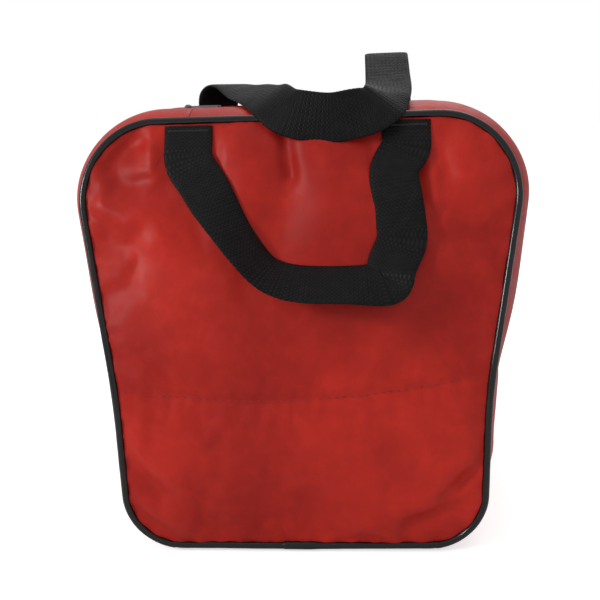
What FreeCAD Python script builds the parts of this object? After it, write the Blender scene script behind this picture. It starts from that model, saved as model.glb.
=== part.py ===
import FreeCAD, Part

# Single-ball bowling bag: a soft upright tote of red coated nylon with two piped main panels,
# a gusset running round between them, a zip along the top and two loops of black webbing.
# Millimetres. +Z is up, the front panel faces -Y, and the origin is the centre of the base
# on the surface that the bag stands on.
import math
import os

from FreeCAD import Vector

# Main panels, seen from the front, measured to the centre of the piping
base_half_width = 121.0
top_half_width = 153.5
foot_height = 4.0
waist_height = 113.0
body_height = 287.5
base_corner_radius = 38.0
waist_radius = 250.0
top_corner_radius = 50.0

# Side profile, measured from the middle of the bag to the centre of the piping
base_half_depth = 116.0
top_half_depth = 60.0
waist_bend_radius = 150.0
panel_crown = 6.0

# Gusset between the panels
side_bulge = 22.5
top_bulge = 8.8
top_valley = 0.55
base_flat_share = 0.85
arc_steps = 8

# Cloth, piping and binding
cloth = 1.2
piping_radius = 2.5
binding_width = 9.0
binding_cloth = 1.5
seam_inset = 2.6

# Ball compartment
ball_radius = 109.0
pad_foam = 6.0
lining_cloth = 0.8
pad_side_margin = 14.0
board_thickness = 3.0
board_side_gap = 1.0
base_foam = 8.0
cup_height = 22.0
cup_outer_radius = 78.0
cup_hole_radius = 40.0
cup_base_gap = 1.5

# Zip
zip_slot_half = 6.0
flap_half_length = 72.0
flap_hinge_gap = 3.2
flap_end_gap = 0.4
zip_end_drop = 65.5
zip_end_height = body_height - zip_end_drop
tape_thickness = 0.6
tape_outer = 14.0
tape_inner = 1.4
tooth_pitch = 4.0
tooth_length = 2.2
tooth_inner = 0.8
tooth_outer = 3.2
tooth_height = 2.2
stop_length = 4.0
tab_length = 12.0
tab_cloth = 1.0

# Slider and its pull
slider_length = 14.0
slider_half_width = 5.2
slider_plate = 1.2
slider_gap = 0.3
slider_neck = 0.9
slider_park = 83.0
lug_height = 2.6
lug_width = 1.0
lug_length = 3.6
pull_pin_radius = 0.8
pull_fit = 0.06
pull_eye_wall = 0.8
pull_length = 24.0
pull_width = 6.5
pull_plate = 1.2

# Handles
webbing_width = 32.0
webbing_thickness = 2.0
handle_half_span = 71.5
fold_drop = 16.5
fold_height = body_height - fold_drop
fold_stand_off = 1.8
sewn_end_top_gap = 2.0
handle_root_gap = 1.3
loop_step = handle_half_span / 71.5
bartack_length = 26.0
bartack_width = 1.2
bartack_height = 0.5
bartack_inset = 3.0

# Stitch row that closes the foam pockets at the waist
stitch_length = 3.2
stitch_width = 0.6
stitch_pitch = 5.0



def share(low, high, value):
    """Place of a value between two limits, 0 to 1, eased at both ends."""
    t = min(max((value - low) / (high - low), 0.0), 1.0)
    return t * t * (3.0 - 2.0 * t)


# ---------------------------------------------------------------- side profile of the panels

def lean_angle():
    """Angle that the upper part of a panel leans in from the vertical."""
    return math.atan2(base_half_depth - top_half_depth, body_height - waist_height)


def half_depth(z):
    """Distance from the middle of the bag to the piping plane at a height."""
    angle = lean_angle()
    bend_start = waist_height - waist_reach()
    bend_end = waist_height + waist_reach() * math.cos(angle)
    if z <= bend_start:
        return base_half_depth
    if z < bend_end:
        rise = z - bend_start
        return base_half_depth - waist_bend_radius + math.sqrt(waist_bend_radius ** 2 - rise ** 2)
    return base_half_depth - (z - waist_height) * math.tan(angle)


def side_half_width(z):
    """Half width of a panel at a height, without its rounded corners."""
    if z < waist_height:
        return base_half_width
    lean = (top_half_width - base_half_width) / (body_height - waist_height)
    return base_half_width + (z - waist_height) * lean


def crown(x, z):
    """How far a panel stands proud of the piping plane: nothing at its rim, most in the middle."""
    middle = (body_height + foot_height) / 2.0
    half_height = (body_height - foot_height) / 2.0
    across = max(1.0 - (x / side_half_width(z)) ** 2, 0.0)
    up = max(1.0 - ((z - middle) / half_height) ** 2, 0.0)
    return panel_crown * across * up


def panel_reach(x, z):
    """Distance from the middle of the bag to the outer face of a panel."""
    return half_depth(z) + crown(x, z)


# ---------------------------------------------------------------- outline of the panels

def rounded_edges(corners, closed):
    """Edges through (point, radius) corners, each rounded by an arc tangent to its two sides.
    An open run starts and ends on its first and last points, whose radii are not used."""
    count = len(corners)
    stops = []
    for index, (corner, radius) in enumerate(corners):
        if not closed and index in (0, count - 1):
            stops.append((corner, None, corner))
            continue
        back = corners[index - 1][0] - corner
        ahead = corners[(index + 1) % count][0] - corner
        half = back.getAngle(ahead) / 2.0
        back.normalize()
        ahead.normalize()
        reach = radius / math.tan(half)
        inward = back + ahead
        inward.normalize()
        middle = corner + inward * (radius / math.sin(half) - radius)
        stops.append((corner + back * reach, middle, corner + ahead * reach))
    edges = []
    for index, (start, middle, end) in enumerate(stops):
        if middle:
            edges.append(Part.Arc(start, middle, end).toShape())
        if closed or index < count - 1:
            edges.append(Part.LineSegment(end, stops[(index + 1) % count][0]).toShape())
    return edges


def rounded_loop(corners):
    """Closed run of rounded edges."""
    return rounded_edges(corners, True)


def outline_edges():
    """Panel outline in the XZ plane, anticlockwise seen from the front, from the left base corner."""
    corners = [
        (Vector(-base_half_width, 0, foot_height), base_corner_radius),
        (Vector(base_half_width, 0, foot_height), base_corner_radius),
        (Vector(base_half_width, 0, waist_height), waist_radius),
        (Vector(top_half_width, 0, body_height), top_corner_radius),
        (Vector(-top_half_width, 0, body_height), top_corner_radius),
        (Vector(-base_half_width, 0, waist_height), waist_radius),
    ]
    return rounded_loop(corners)


def outline_prism(inset, y_start, y_end):
    """The panel outline, drawn in by an inset, as a block between two depths."""
    wire = Part.Wire(outline_edges())
    if inset:
        wire = wire.makeOffset2D(-inset)
    wire.translate(Vector(0, y_start, 0))
    return Part.Face(wire).extrude(Vector(0, y_end - y_start, 0))


def panel_layer(side, depth_in, thickness, inset):
    """A layer of a main panel: side is -1 at the front and 1 at the rear, and depth_in is how far
    the layer's outer face lies inside the panel's own outer face."""
    columns = 13
    rows = 17
    reach_x = top_half_width + 6.0
    low_z = foot_height - 4.0
    high_z = body_height + 4.0
    grid = []
    for row in range(rows):
        z = low_z + (high_z - low_z) * row / (rows - 1)
        line = []
        for column in range(columns):
            x = -reach_x + 2.0 * reach_x * column / (columns - 1)
            line.append(Vector(x, side * (panel_reach(x, z) - depth_in), z))
        grid.append(line)
    surface = Part.BSplineSurface()
    surface.interpolate(grid)
    block = surface.toShape().extrude(Vector(0, -side * thickness, 0))
    far = side * (base_half_depth + panel_crown + 20.0)
    near = side * top_half_depth * 0.4
    return block.common(outline_prism(inset, min(near, far), max(near, far)))


# ---------------------------------------------------------------- gusset

def bulge_at(z):
    """How far the gusset swells out past the panel outline at a height."""
    level = (z - foot_height) / (body_height - foot_height)
    level = min(max(level, 0.0), 1.0)
    return top_bulge * level ** 2 + side_bulge * math.sin(math.pi * level ** 0.8)


def swell(fraction, station):
    """Height of the gusset over the panel outline, at a fraction of the half depth from the middle."""
    fullness = station["bulge"] * (1.0 - abs(fraction) ** station["power"])
    return fullness * (1.0 - station["valley"] * (1.0 - abs(fraction)) ** 3)


def station_at(point, outward, bulge, power, valley):
    """A place along the outline where a section of the gusset stands."""
    return {"point": point, "out": outward, "bulge": bulge, "power": power, "valley": valley}


def outline_station(edge, turn):
    """The station a share of the way along one edge of the outline."""
    place = edge.FirstParameter + (edge.LastParameter - edge.FirstParameter) * turn
    point = edge.valueAt(place)
    along = edge.tangentAt(place)
    outward = Vector(along.z, 0, -along.x)
    middle = Vector(0, 0, (body_height + foot_height) / 2.0)
    if outward.dot(point - middle) < 0:
        outward = outward * -1.0
    upper = share(waist_height, body_height, point.z)
    lower = 1.0 - share(foot_height, foot_height + base_corner_radius, point.z)
    bulge = max(bulge_at(point.z), foot_height * lower)
    power = 2.0 + 2.0 * upper + 8.0 * lower
    valley = top_valley * share(zip_end_height, body_height, point.z)
    return station_at(point, outward, bulge, power, valley)


def section_wire(station, fractions):
    """Closed section of gusset cloth across the depth, through the given fractions."""
    outer = []
    inner = []
    for fraction in fractions:
        depth = half_depth(station["point"].z) * fraction
        rise = swell(fraction, station)
        base = station["point"] + Vector(0, depth, 0)
        outer.append(base + station["out"] * rise)
        inner.append(base + station["out"] * (rise - cloth))
    inner.reverse()
    outer_curve = Part.BSplineCurve()
    outer_curve.interpolate(outer)
    inner_curve = Part.BSplineCurve()
    inner_curve.interpolate(inner)
    edges = [
        outer_curve.toShape(),
        Part.LineSegment(outer[-1], inner[0]).toShape(),
        inner_curve.toShape(),
        Part.LineSegment(inner[-1], outer[0]).toShape(),
    ]
    return Part.Wire(edges)


def right_side_stations():
    """Stations up the right side: the base corner, then the side up to the end of the zip."""
    edges = outline_edges()
    base_arc = edges[2]
    lower_side = edges[3]
    waist_arc = edges[4]
    upper_side = edges[5]
    found = [outline_station(base_arc, turn / arc_steps) for turn in range(arc_steps + 1)]
    found += [outline_station(lower_side, 0.6)]
    found += [outline_station(waist_arc, turn) for turn in (0.0, 0.5, 1.0)]
    low = upper_side.valueAt(upper_side.FirstParameter).z
    high = upper_side.valueAt(upper_side.LastParameter).z
    for height in (low + (zip_end_height - low) * 0.5, zip_end_height):
        found.append(outline_station(upper_side, (height - low) / (high - low)))
    return found


def right_corner_stations():
    """Stations from the end of the zip, round the top corner, to the end of the top flap."""
    edges = outline_edges()
    upper_side = edges[5]
    top_arc = edges[6]
    top_line = edges[7]
    low = upper_side.valueAt(upper_side.FirstParameter).z
    high = upper_side.valueAt(upper_side.LastParameter).z
    found = [outline_station(upper_side, (zip_end_height - low) / (high - low))]
    found += [outline_station(top_arc, turn / arc_steps) for turn in range(arc_steps + 1)]
    start = top_line.valueAt(top_line.FirstParameter).x
    end = top_line.valueAt(top_line.LastParameter).x
    reach = flap_half_length + flap_end_gap
    found.append(outline_station(top_line, (reach - start) / (end - start)))
    return found


def top_station(x):
    """A station on the straight top edge."""
    return station_at(Vector(x, 0, body_height), Vector(0, 0, 1), top_bulge, 4.0, top_valley)


def loft(wires):
    """A solid through closed sections, straight from each to the next."""
    solid = Part.makeLoft(wires, True, True)
    if solid.Volume < 0:
        solid.reverse()
    return solid


def mirrored(shape):
    return shape.mirror(Vector(0, 0, 0), Vector(1, 0, 0))


def turned_to_rear(shape):
    return shape.mirror(Vector(0, 0, 0), Vector(0, 1, 0))


def side_gusset():
    """Right side of the gusset, from the flat of the base to the end of the zip."""
    fractions = (-1.0, -0.85, -0.6, -0.3, 0.0, 0.3, 0.6, 0.85, 1.0)
    return loft([section_wire(station, fractions) for station in right_side_stations()])


def band_fractions(rim):
    """Fractions across one band beside the zip, from its rim to the zip slot."""
    slot = zip_slot_half / top_half_depth
    steps = 5
    return [-(rim + (slot - rim) * step / steps) for step in range(steps + 1)]


def corner_band():
    """Front right band beside the zip, round the top corner."""
    return loft([section_wire(station, band_fractions(1.0)) for station in right_corner_stations()])


def top_flap():
    """Front flap beside the zip, which folds into the bag once the zip is open."""
    rim = 1.0 - flap_hinge_gap / top_half_depth
    places = (-flap_half_length, 0.0, flap_half_length)
    return loft([section_wire(top_station(x), band_fractions(rim)) for x in places])


def base_panel():
    """Flat cloth under the base, turned up to the piping at the front and the rear."""
    reach = base_half_width - base_corner_radius
    flat = base_half_depth * base_flat_share
    outside = [
        Vector(-reach, -base_half_depth, foot_height),
        Vector(-reach, -flat, 0),
        Vector(-reach, flat, 0),
        Vector(-reach, base_half_depth, foot_height),
        Vector(-reach, base_half_depth, foot_height + cloth),
        Vector(-reach, flat, cloth),
        Vector(-reach, -flat, cloth),
        Vector(-reach, -base_half_depth, foot_height + cloth),
    ]
    face = Part.Face(Part.makePolygon(outside + [outside[0]]))
    return face.extrude(Vector(2.0 * reach, 0, 0))


# ---------------------------------------------------------------- piping and binding

def waist_reach():
    """Length of each side of the waist corner that its bend takes up."""
    return waist_bend_radius * math.tan(lean_angle() / 2.0)


def piping():
    """Front piping: a cord bead on the panel outline, following the side profile."""
    waist = Vector(base_half_width, -base_half_depth, waist_height)
    shoulder = Vector(top_half_width, -top_half_depth, body_height)
    turn = (shoulder - waist).getAngle(Vector(0, 0, 1))
    corners = [
        (Vector(0, -base_half_depth, foot_height), 0.0),
        (Vector(base_half_width, -base_half_depth, foot_height), base_corner_radius),
        (waist, waist_reach() / math.tan(turn / 2.0)),
        (shoulder, top_corner_radius),
        (Vector(0, -top_half_depth, body_height), 0.0),
    ]
    path = Part.Wire(rounded_edges(corners, False))
    ring = Part.Circle(corners[0][0], Vector(1, 0, 0), piping_radius)
    half = path.makePipeShell([Part.Wire(ring.toShape())], True, False)
    return half.fuse(mirrored(half))


def binding():
    """Front seam binding: a tape sewn flat over the raw seam edge, inside the panel."""
    layer = panel_layer(-1, cloth, binding_cloth, seam_inset)
    core = outline_prism(seam_inset + binding_width, -base_half_depth * 2.0, 0)
    return layer.cut(core)


# ---------------------------------------------------------------- foam, lining and base

def pocket_block(top_gap):
    """Space of one foam pocket behind a panel's lower part, as a block to cut layers with."""
    half = base_half_width - pad_side_margin
    low = foot_height + pad_side_margin
    high = waist_height - top_gap
    corners = [
        (Vector(-half, 0, low), base_corner_radius - pad_side_margin),
        (Vector(half, 0, low), base_corner_radius - pad_side_margin),
        (Vector(half, 0, high), pad_foam),
        (Vector(-half, 0, high), pad_foam),
    ]
    face = Part.Face(Part.Wire(rounded_loop(corners)))
    face.translate(Vector(0, -base_half_depth * 2.0, 0))
    return face.extrude(Vector(0, base_half_depth * 2.0, 0))


def foam_pad():
    """Front foam pad, in the pocket between the panel and its lining."""
    return panel_layer(-1, cloth, pad_foam, 0.0).common(pocket_block(pad_foam / 2.0))


def pocket_lining():
    """Front pocket lining: the cloth that holds the foam pad against the panel."""
    return panel_layer(-1, cloth + pad_foam, lining_cloth, 0.0).common(pocket_block(0.0))


def base_stack():
    """Stiffener board, foam sheet and ball cup that lie on the base, from the bottom up."""
    half_x = base_half_width - base_corner_radius - board_side_gap
    half_y = base_half_depth * base_flat_share
    board_low = cloth
    foam_low = board_low + board_thickness
    cup_low = foam_low + base_foam
    board = rounded_plate(half_x, half_y, board_low, board_thickness)
    foam = rounded_plate(half_x, half_y, foam_low, base_foam)
    seat = ball_radius + 0.5
    ball_centre = cup_low + cup_base_gap + seat
    ring = Part.makeCylinder(cup_outer_radius, cup_height, Vector(0, 0, cup_low))
    ring = ring.cut(Part.makeCylinder(cup_hole_radius, cup_height, Vector(0, 0, cup_low)))
    ring = ring.cut(Part.makeSphere(seat, Vector(0, 0, ball_centre)))
    return board, foam, ring


def rounded_plate(half_x, half_y, low, thickness):
    """A flat plate with rounded corners."""
    corner = base_corner_radius / 2.0
    corners = [
        (Vector(-half_x, -half_y, low), corner),
        (Vector(half_x, -half_y, low), corner),
        (Vector(half_x, half_y, low), corner),
        (Vector(-half_x, half_y, low), corner),
    ]
    return Part.Face(Part.Wire(rounded_loop(corners))).extrude(Vector(0, 0, thickness))


# ---------------------------------------------------------------- zip

def zip_rise():
    """Height of the zip's middle plane over the panel outline, along the top."""
    edge = swell(zip_slot_half / top_half_depth, top_station(0.0))
    return edge - cloth - tape_thickness / 2.0


def tooth_at(point, outward, side):
    """One moulded tooth, on the front (-1) or rear (1) tape."""
    along = Vector(outward.z, 0, -outward.x)
    width = tooth_outer - tooth_inner
    low = side * tooth_inner if side > 0 else -tooth_outer
    block = Part.makeBox(tooth_length, width, tooth_height)
    block.translate(Vector(-tooth_length / 2.0, low, -tooth_height / 2.0))
    turn = math.degrees(math.atan2(-along.z, along.x))
    block.rotate(Vector(0, 0, 0), Vector(0, 1, 0), turn)
    block.translate(point)
    return block


def flap_teeth(side):
    """Row of teeth along one flap."""
    count = int(2.0 * (flap_half_length - tooth_length) / tooth_pitch)
    shift = 0.25 * tooth_pitch * side
    level = body_height + zip_rise()
    teeth = []
    for index in range(count):
        x = (index - (count - 1) / 2.0) * tooth_pitch + shift
        teeth.append(tooth_at(Vector(x, 0, level), Vector(0, 0, 1), side))
    return Part.makeCompound(teeth)


def flap_tape(side):
    """Tape under one flap, that the teeth are moulded on to."""
    level = body_height + zip_rise() - tape_thickness / 2.0
    low = side * tape_inner if side > 0 else -tape_outer
    tape = Part.makeBox(2.0 * flap_half_length, tape_outer - tape_inner, tape_thickness)
    tape.translate(Vector(-flap_half_length, low, level))
    return tape


def zip_path():
    """Middle line of the right end of the zip, as (point, outward) from the flap down."""
    places = []
    for station in reversed(right_corner_stations()):
        slot = zip_slot_half / half_depth(station["point"].z)
        rise = swell(slot, station) - cloth - tape_thickness / 2.0
        places.append((station["point"] + station["out"] * rise, station["out"]))
    first, outward = places[0]
    places[0] = (Vector(flap_half_length + flap_end_gap, 0, first.z), outward)
    return places


def smooth_curve(points):
    curve = Part.BSplineCurve()
    curve.interpolate(points)
    return curve


def end_tape():
    """Right end of both zip tapes, from the flap round the corner and down the side."""
    half = tape_thickness / 2.0
    places = zip_path()
    outer = [point + outward * half for point, outward in places]
    inner = [point - outward * half for point, outward in places]
    inner.reverse()
    edges = [
        smooth_curve(outer).toShape(),
        Part.LineSegment(outer[-1], inner[0]).toShape(),
        smooth_curve(inner).toShape(),
        Part.LineSegment(inner[-1], outer[0]).toShape(),
    ]
    face = Part.Face(Part.Wire(edges))
    face.translate(Vector(0, tape_inner, 0))
    rear = face.extrude(Vector(0, tape_outer - tape_inner, 0))
    return Part.makeCompound([rear, turned_to_rear(rear)])


def end_teeth():
    """Teeth along the right end of the zip."""
    places = zip_path()
    curve = smooth_curve([point for point, outward in places])
    edge = curve.toShape()
    last = edge.Length - tab_length + 0.2 * stop_length
    room = last - tooth_length - 0.5 * tooth_pitch
    count = round(room / tooth_pitch)
    teeth = []
    for side in (-1, 1):
        for index in range(count + 1):
            reach = tooth_length + index * room / count + 0.25 * tooth_pitch * (1 + side)
            place = edge.getParameterByLength(reach)
            along = edge.tangentAt(place)
            outward = Vector(-along.z, 0, along.x)
            if outward.z + outward.x < 0:
                outward = outward * -1.0
            teeth.append(tooth_at(edge.valueAt(place), outward, side))
    return Part.makeCompound(teeth)


def zip_end_fittings():
    """Right end of the zip: a staple stop across the teeth and a folded cloth tab below it."""
    places = zip_path()
    point, outward = places[-1]
    along = Vector(outward.z, 0, -outward.x)
    turn = math.degrees(math.atan2(-along.z, along.x))
    stop = Part.makeBox(stop_length, 2.0 * tooth_outer, tooth_height + 1.0)
    stop.translate(Vector(-tab_length, -tooth_outer, -tooth_height / 2.0 - 0.5))
    hollow = Part.makeBox(stop_length, 2.0 * tooth_outer, tape_thickness + 0.1)
    hollow.translate(Vector(-tab_length, -tooth_outer, -tape_thickness / 2.0 - 0.05))
    tab = Part.makeBox(tab_length - stop_length - 0.5, 2.0 * zip_slot_half - 1.0, tab_cloth)
    tab.translate(Vector(-tab_length + stop_length + 0.5, -zip_slot_half + 0.5, tape_thickness / 2.0))
    placed = []
    for shape in (stop.cut(hollow), tab):
        shape.rotate(Vector(0, 0, 0), Vector(0, 1, 0), turn)
        shape.translate(point)
        placed.append(shape)
    return placed


def zip_slider():
    """Slider: two plates joined by a thin neck between the rows of teeth, with two pull lugs."""
    level = body_height + zip_rise()
    lift = tooth_height / 2.0 + slider_gap
    half = slider_length / 2.0
    solids = []
    for low in (lift, -lift - slider_plate):
        plate = Part.makeBox(slider_length, 2.0 * slider_half_width, slider_plate)
        plate.translate(Vector(-half, -slider_half_width, low))
        upright = [edge for edge in plate.Edges if abs(edge.tangentAt(edge.FirstParameter).z) > 0.9]
        solids.append(plate.makeFillet(slider_half_width * 0.4, upright))
    neck = Part.makeBox(slider_length * 0.7, slider_neck, 2.0 * lift)
    neck.translate(Vector(-slider_length * 0.35, -slider_neck / 2.0, -lift))
    solids.append(neck)
    top = lift + slider_plate
    half_pull = pull_width / 2.0 + slider_gap
    for side in (-1, 1):
        lug = Part.makeBox(lug_length, lug_width, lug_height)
        start = half_pull if side > 0 else -half_pull - lug_width
        lug.translate(Vector(-lug_length / 2.0, start, top))
        solids.append(lug)
    pin_length = 2.0 * (half_pull + lug_width / 2.0)
    pin_start = Vector(0, -pin_length / 2.0, pull_axis_height() - level)
    solids.append(Part.makeCylinder(pull_pin_radius, pin_length, pin_start, Vector(0, 1, 0)))
    body = solids[0].multiFuse(solids[1:]).removeSplitter()
    body.translate(Vector(-slider_park, 0, level))
    return body


def pull_axis_height():
    """Height of the pin that the pull turns on."""
    top = body_height + zip_rise() + tooth_height / 2.0 + slider_gap + slider_plate
    return top + pull_pin_radius + pull_fit + pull_eye_wall + slider_gap / 2.0


def zip_pull():
    """Pull: an eye round the slider's pin and a flat tag, lying towards the middle of the bag."""
    bore = pull_pin_radius + pull_fit
    eye = bore + pull_eye_wall
    start = Vector(0, -pull_width / 2.0, 0)
    tag = Part.makeBox(pull_length, pull_width, pull_plate)
    tag.translate(Vector(0, -pull_width / 2.0, -pull_plate / 2.0))
    outer_ends = [edge for edge in tag.Edges if edge.CenterOfMass.x > pull_length * 0.99
                  and abs(edge.tangentAt(edge.FirstParameter).z) > 0.9]
    tag = tag.makeFillet(pull_width * 0.35, outer_ends)
    shape = tag.fuse(Part.makeCylinder(eye, pull_width, start, Vector(0, 1, 0)))
    shape = shape.cut(Part.makeCylinder(bore, pull_width, start, Vector(0, 1, 0)))
    window = Part.makeBox(pull_length * 0.3, pull_width * 0.45, pull_plate)
    window.translate(Vector(pull_length * 0.55, -pull_width * 0.225, -pull_plate / 2.0))
    shape = shape.cut(window).removeSplitter()
    shape.translate(Vector(-slider_park, 0, pull_axis_height()))
    return shape


# ---------------------------------------------------------------- handles

def strap(stations):
    """Flat webbing through (centre, width direction) stations, as one solid."""
    centres = [centre for centre, across in stations]
    sections = []
    for index, (centre, across) in enumerate(stations):
        ahead = centres[min(index + 1, len(centres) - 1)] - centres[max(index - 1, 0)]
        ahead.normalize()
        side = across - ahead * across.dot(ahead)
        side.normalize()
        half = side * (webbing_width / 2.0)
        thick = ahead.cross(side) * (webbing_thickness / 2.0)
        sections.append([centre + half + thick, centre - half + thick,
                         centre - half - thick, centre + half - thick])
    return skin(sections)


def skin(sections):
    """Closed solid through four-cornered sections, with a ruled face along each side."""
    faces = []
    for start, end in zip(sections, sections[1:]):
        for index in range(4):
            follow = (index + 1) % 4
            low = Part.LineSegment(start[index], start[follow]).toShape()
            high = Part.LineSegment(end[index], end[follow]).toShape()
            faces.append(Part.makeRuledSurface(low, high))
    for section in (sections[0], sections[-1]):
        faces.append(Part.Face(Part.makePolygon(section + [section[0]])))
    shell = Part.makeShell(faces)
    shell.sewShape()
    solid = Part.makeSolid(shell)
    if solid.Volume < 0:
        solid.reverse()
    return solid


def fold_line_depth():
    """Distance from the middle of the bag to the line that a handle folds about."""
    surface = panel_reach(handle_half_span, fold_height)
    return surface + webbing_thickness + fold_stand_off


def sewn_end(x_centre):
    """End of a front strap, sewn flat on the panel from the top seam down to the fold."""
    high = body_height - piping_radius - sewn_end_top_gap
    half = webbing_width / 2.0
    sections = []
    for z in (fold_height, (fold_height + high) / 2.0, high):
        left = panel_reach(x_centre - half, z)
        right = panel_reach(x_centre + half, z)
        sections.append([Vector(x_centre - half, -left, z), Vector(x_centre + half, -right, z),
                         Vector(x_centre + half, -right - webbing_thickness, z),
                         Vector(x_centre - half, -left - webbing_thickness, z)])
    return skin(sections)


def bartacks(side):
    """Bars of thread through the sewn ends of one handle: side is -1 front, 1 rear."""
    high = body_height - piping_radius - sewn_end_top_gap - bartack_inset
    bars = []
    for x_centre in (-handle_half_span, handle_half_span):
        for z in (fold_height + bartack_inset, high):
            middle = panel_reach(x_centre, z) + webbing_thickness
            bar = Part.makeBox(bartack_length, bartack_height * 3.0, bartack_width)
            bar.translate(Vector(x_centre - bartack_length / 2.0, 0, z - bartack_width / 2.0))
            depth = middle - bartack_height * 2.0
            if side < 0:
                depth = -depth - bartack_height * 3.0
            bar.translate(Vector(0, depth, 0))
            bars.append(bar)
    return Part.makeCompound(bars)


def hanging_point(root, along, drop, stand_off, across):
    """A strap station in front of the front panel: along from a root and a drop below the fold."""
    x = root + along * loop_step
    z = fold_height - drop * loop_step
    return Vector(x, -panel_reach(x, z) - stand_off * loop_step, z), Vector(*across)


def front_handle():
    """Front loop, hanging down in front of the panel: left leg, twisted grip, right leg."""
    left = -handle_half_span
    right = handle_half_span
    root = Vector(left, -fold_line_depth(), fold_height - handle_root_gap)
    root_right = Vector(right, -fold_line_depth(), fold_height - handle_root_gap)
    stations = [
        (root, Vector(1, 0, 0)),
        hanging_point(left, 0.0, 5.0, 2.6, (1, 0, 0)),
        hanging_point(left, 2.5, 12.0, 5.0, (0.97, 0.1, 0.2)),
        hanging_point(left, 8.5, 20.0, 7.5, (0.88, 0.3, 0.35)),
        hanging_point(left, 17.5, 33.0, 11.5, (0.72, 0.55, 0.42)),
        hanging_point(left, 28.5, 49.0, 14.5, (0.5, 0.78, 0.38)),
        hanging_point(left, 41.5, 65.5, 16.0, (0.32, 0.85, 0.42)),
        hanging_point(left, 53.0, 76.5, 16.0, (0.12, 0.86, 0.50)),
        hanging_point(left, 65.0, 81.5, 15.5, (0.05, 0.84, 0.54)),
        hanging_point(left, 87.0, 84.0, 15.0, (0.0, 0.83, 0.56)),
        hanging_point(right, -31.0, 84.0, 15.0, (-0.02, 0.80, 0.60)),
        hanging_point(right, -20.0, 82.5, 13.5, (-0.30, 0.70, 0.65)),
        hanging_point(right, -11.5, 76.5, 10.5, (-0.72, 0.46, 0.52)),
        hanging_point(right, -6.0, 65.0, 7.0, (-0.97, 0.16, 0.18)),
        hanging_point(right, -5.5, 50.0, 5.0, (-1, 0.05, 0)),
        hanging_point(right, -7.5, 34.0, 4.5, (-1, 0.0, 0)),
        hanging_point(right, -7.0, 22.0, 4.5, (-1, 0, 0)),
        hanging_point(right, -2.5, 12.5, 4.2, (-1, 0, 0)),
        hanging_point(right, 0.0, 5.0, 2.6, (-1, 0, 0)),
        (root_right, Vector(-1, 0, 0)),
    ]
    return strap(stations)


def draped_point(root, along, edge, behind, rise, across):
    """A strap station over the top: along from a root, behind a top edge, above the piping."""
    x = root + along * loop_step
    depth = edge + behind * loop_step
    return Vector(x, depth, body_height + rise * loop_step), Vector(*across)


def rear_handle():
    """Rear loop, lying forward over the top of the bag and down over the front top edge."""
    left = -handle_half_span
    right = handle_half_span
    fold = fold_line_depth()
    root_height = fold_height + handle_root_gap
    edge = top_half_depth
    stations = [
        (Vector(left, fold, root_height), Vector(-1, 0, 0)),
        draped_point(left, 0.0, edge, 8.5, -2.0, (-1, 0, 0)),
        draped_point(left, 1.5, edge, 2.5, 11.5, (-1, -0.1, 0)),
        draped_point(left, 8.5, edge, -11.0, 21.5, (-0.85, -0.5, 0.05)),
        draped_point(left, 23.0, edge, -36.0, 21.0, (-0.6, -0.78, -0.12)),
        draped_point(left, 38.0, -edge, 46.0, 17.5, (-0.42, -0.86, -0.28)),
        draped_point(left, 49.0, -edge, 20.5, 18.5, (-0.42, -0.76, -0.48)),
        draped_point(left, 57.0, -edge, 0.0, 16.5, (-0.33, -0.52, -0.79)),
        draped_point(left, 65.5, -edge, -8.0, 7.5, (-0.18, -0.28, -0.95)),
        draped_point(left, 79.0, -edge, -9.0, 1.0, (-0.05, -0.18, -1)),
        draped_point(left, 97.0, -edge, -9.5, -0.5, (0, -0.12, -1)),
        draped_point(right, -34.0, -edge, -9.0, 1.5, (0.10, -0.2, -0.97)),
        draped_point(right, -24.0, -edge, -8.5, 5.5, (0.20, -0.30, -0.93)),
        draped_point(right, -16.0, -edge, -3.0, 13.5, (0.38, -0.50, -0.78)),
        draped_point(right, -12.5, -edge, 12.0, 17.0, (0.55, -0.70, -0.46)),
        draped_point(right, -9.5, -edge, 30.0, 20.0, (0.78, -0.56, -0.28)),
        draped_point(right, -8.5, -edge, 50.0, 26.0, (0.93, -0.30, -0.20)),
        draped_point(right, -8.0, edge, -50.0, 34.5, (0.98, -0.12, -0.1)),
        draped_point(right, -7.5, edge, -32.0, 41.5, (1, 0, 0)),
        draped_point(right, -6.5, edge, -14.0, 39.0, (1, 0, 0)),
        draped_point(right, -4.5, edge, -1.0, 25.5, (1, 0, 0)),
        draped_point(right, -1.0, edge, 7.0, 4.0, (1, 0, 0)),
        (Vector(right, fold, root_height), Vector(1, 0, 0)),
    ]
    return strap(stations)


# ---------------------------------------------------------------- waist stitches

def waist_stitches():
    """Row of thread through the front panel at the waist, which closes the foam pocket."""
    reach = base_half_width - pad_side_margin
    count = int(2.0 * reach / stitch_pitch)
    stitches = []
    for index in range(count + 1):
        x = (index - count / 2.0) * stitch_pitch
        depth = panel_reach(x, waist_height)
        stitch = Part.makeBox(stitch_length, stitch_width * 2.0, stitch_width)
        start = Vector(x - stitch_length / 2.0, -depth - stitch_width, waist_height)
        stitch.translate(start)
        stitches.append(stitch)
    return Part.makeCompound(stitches)


# ---------------------------------------------------------------- assembly

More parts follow.
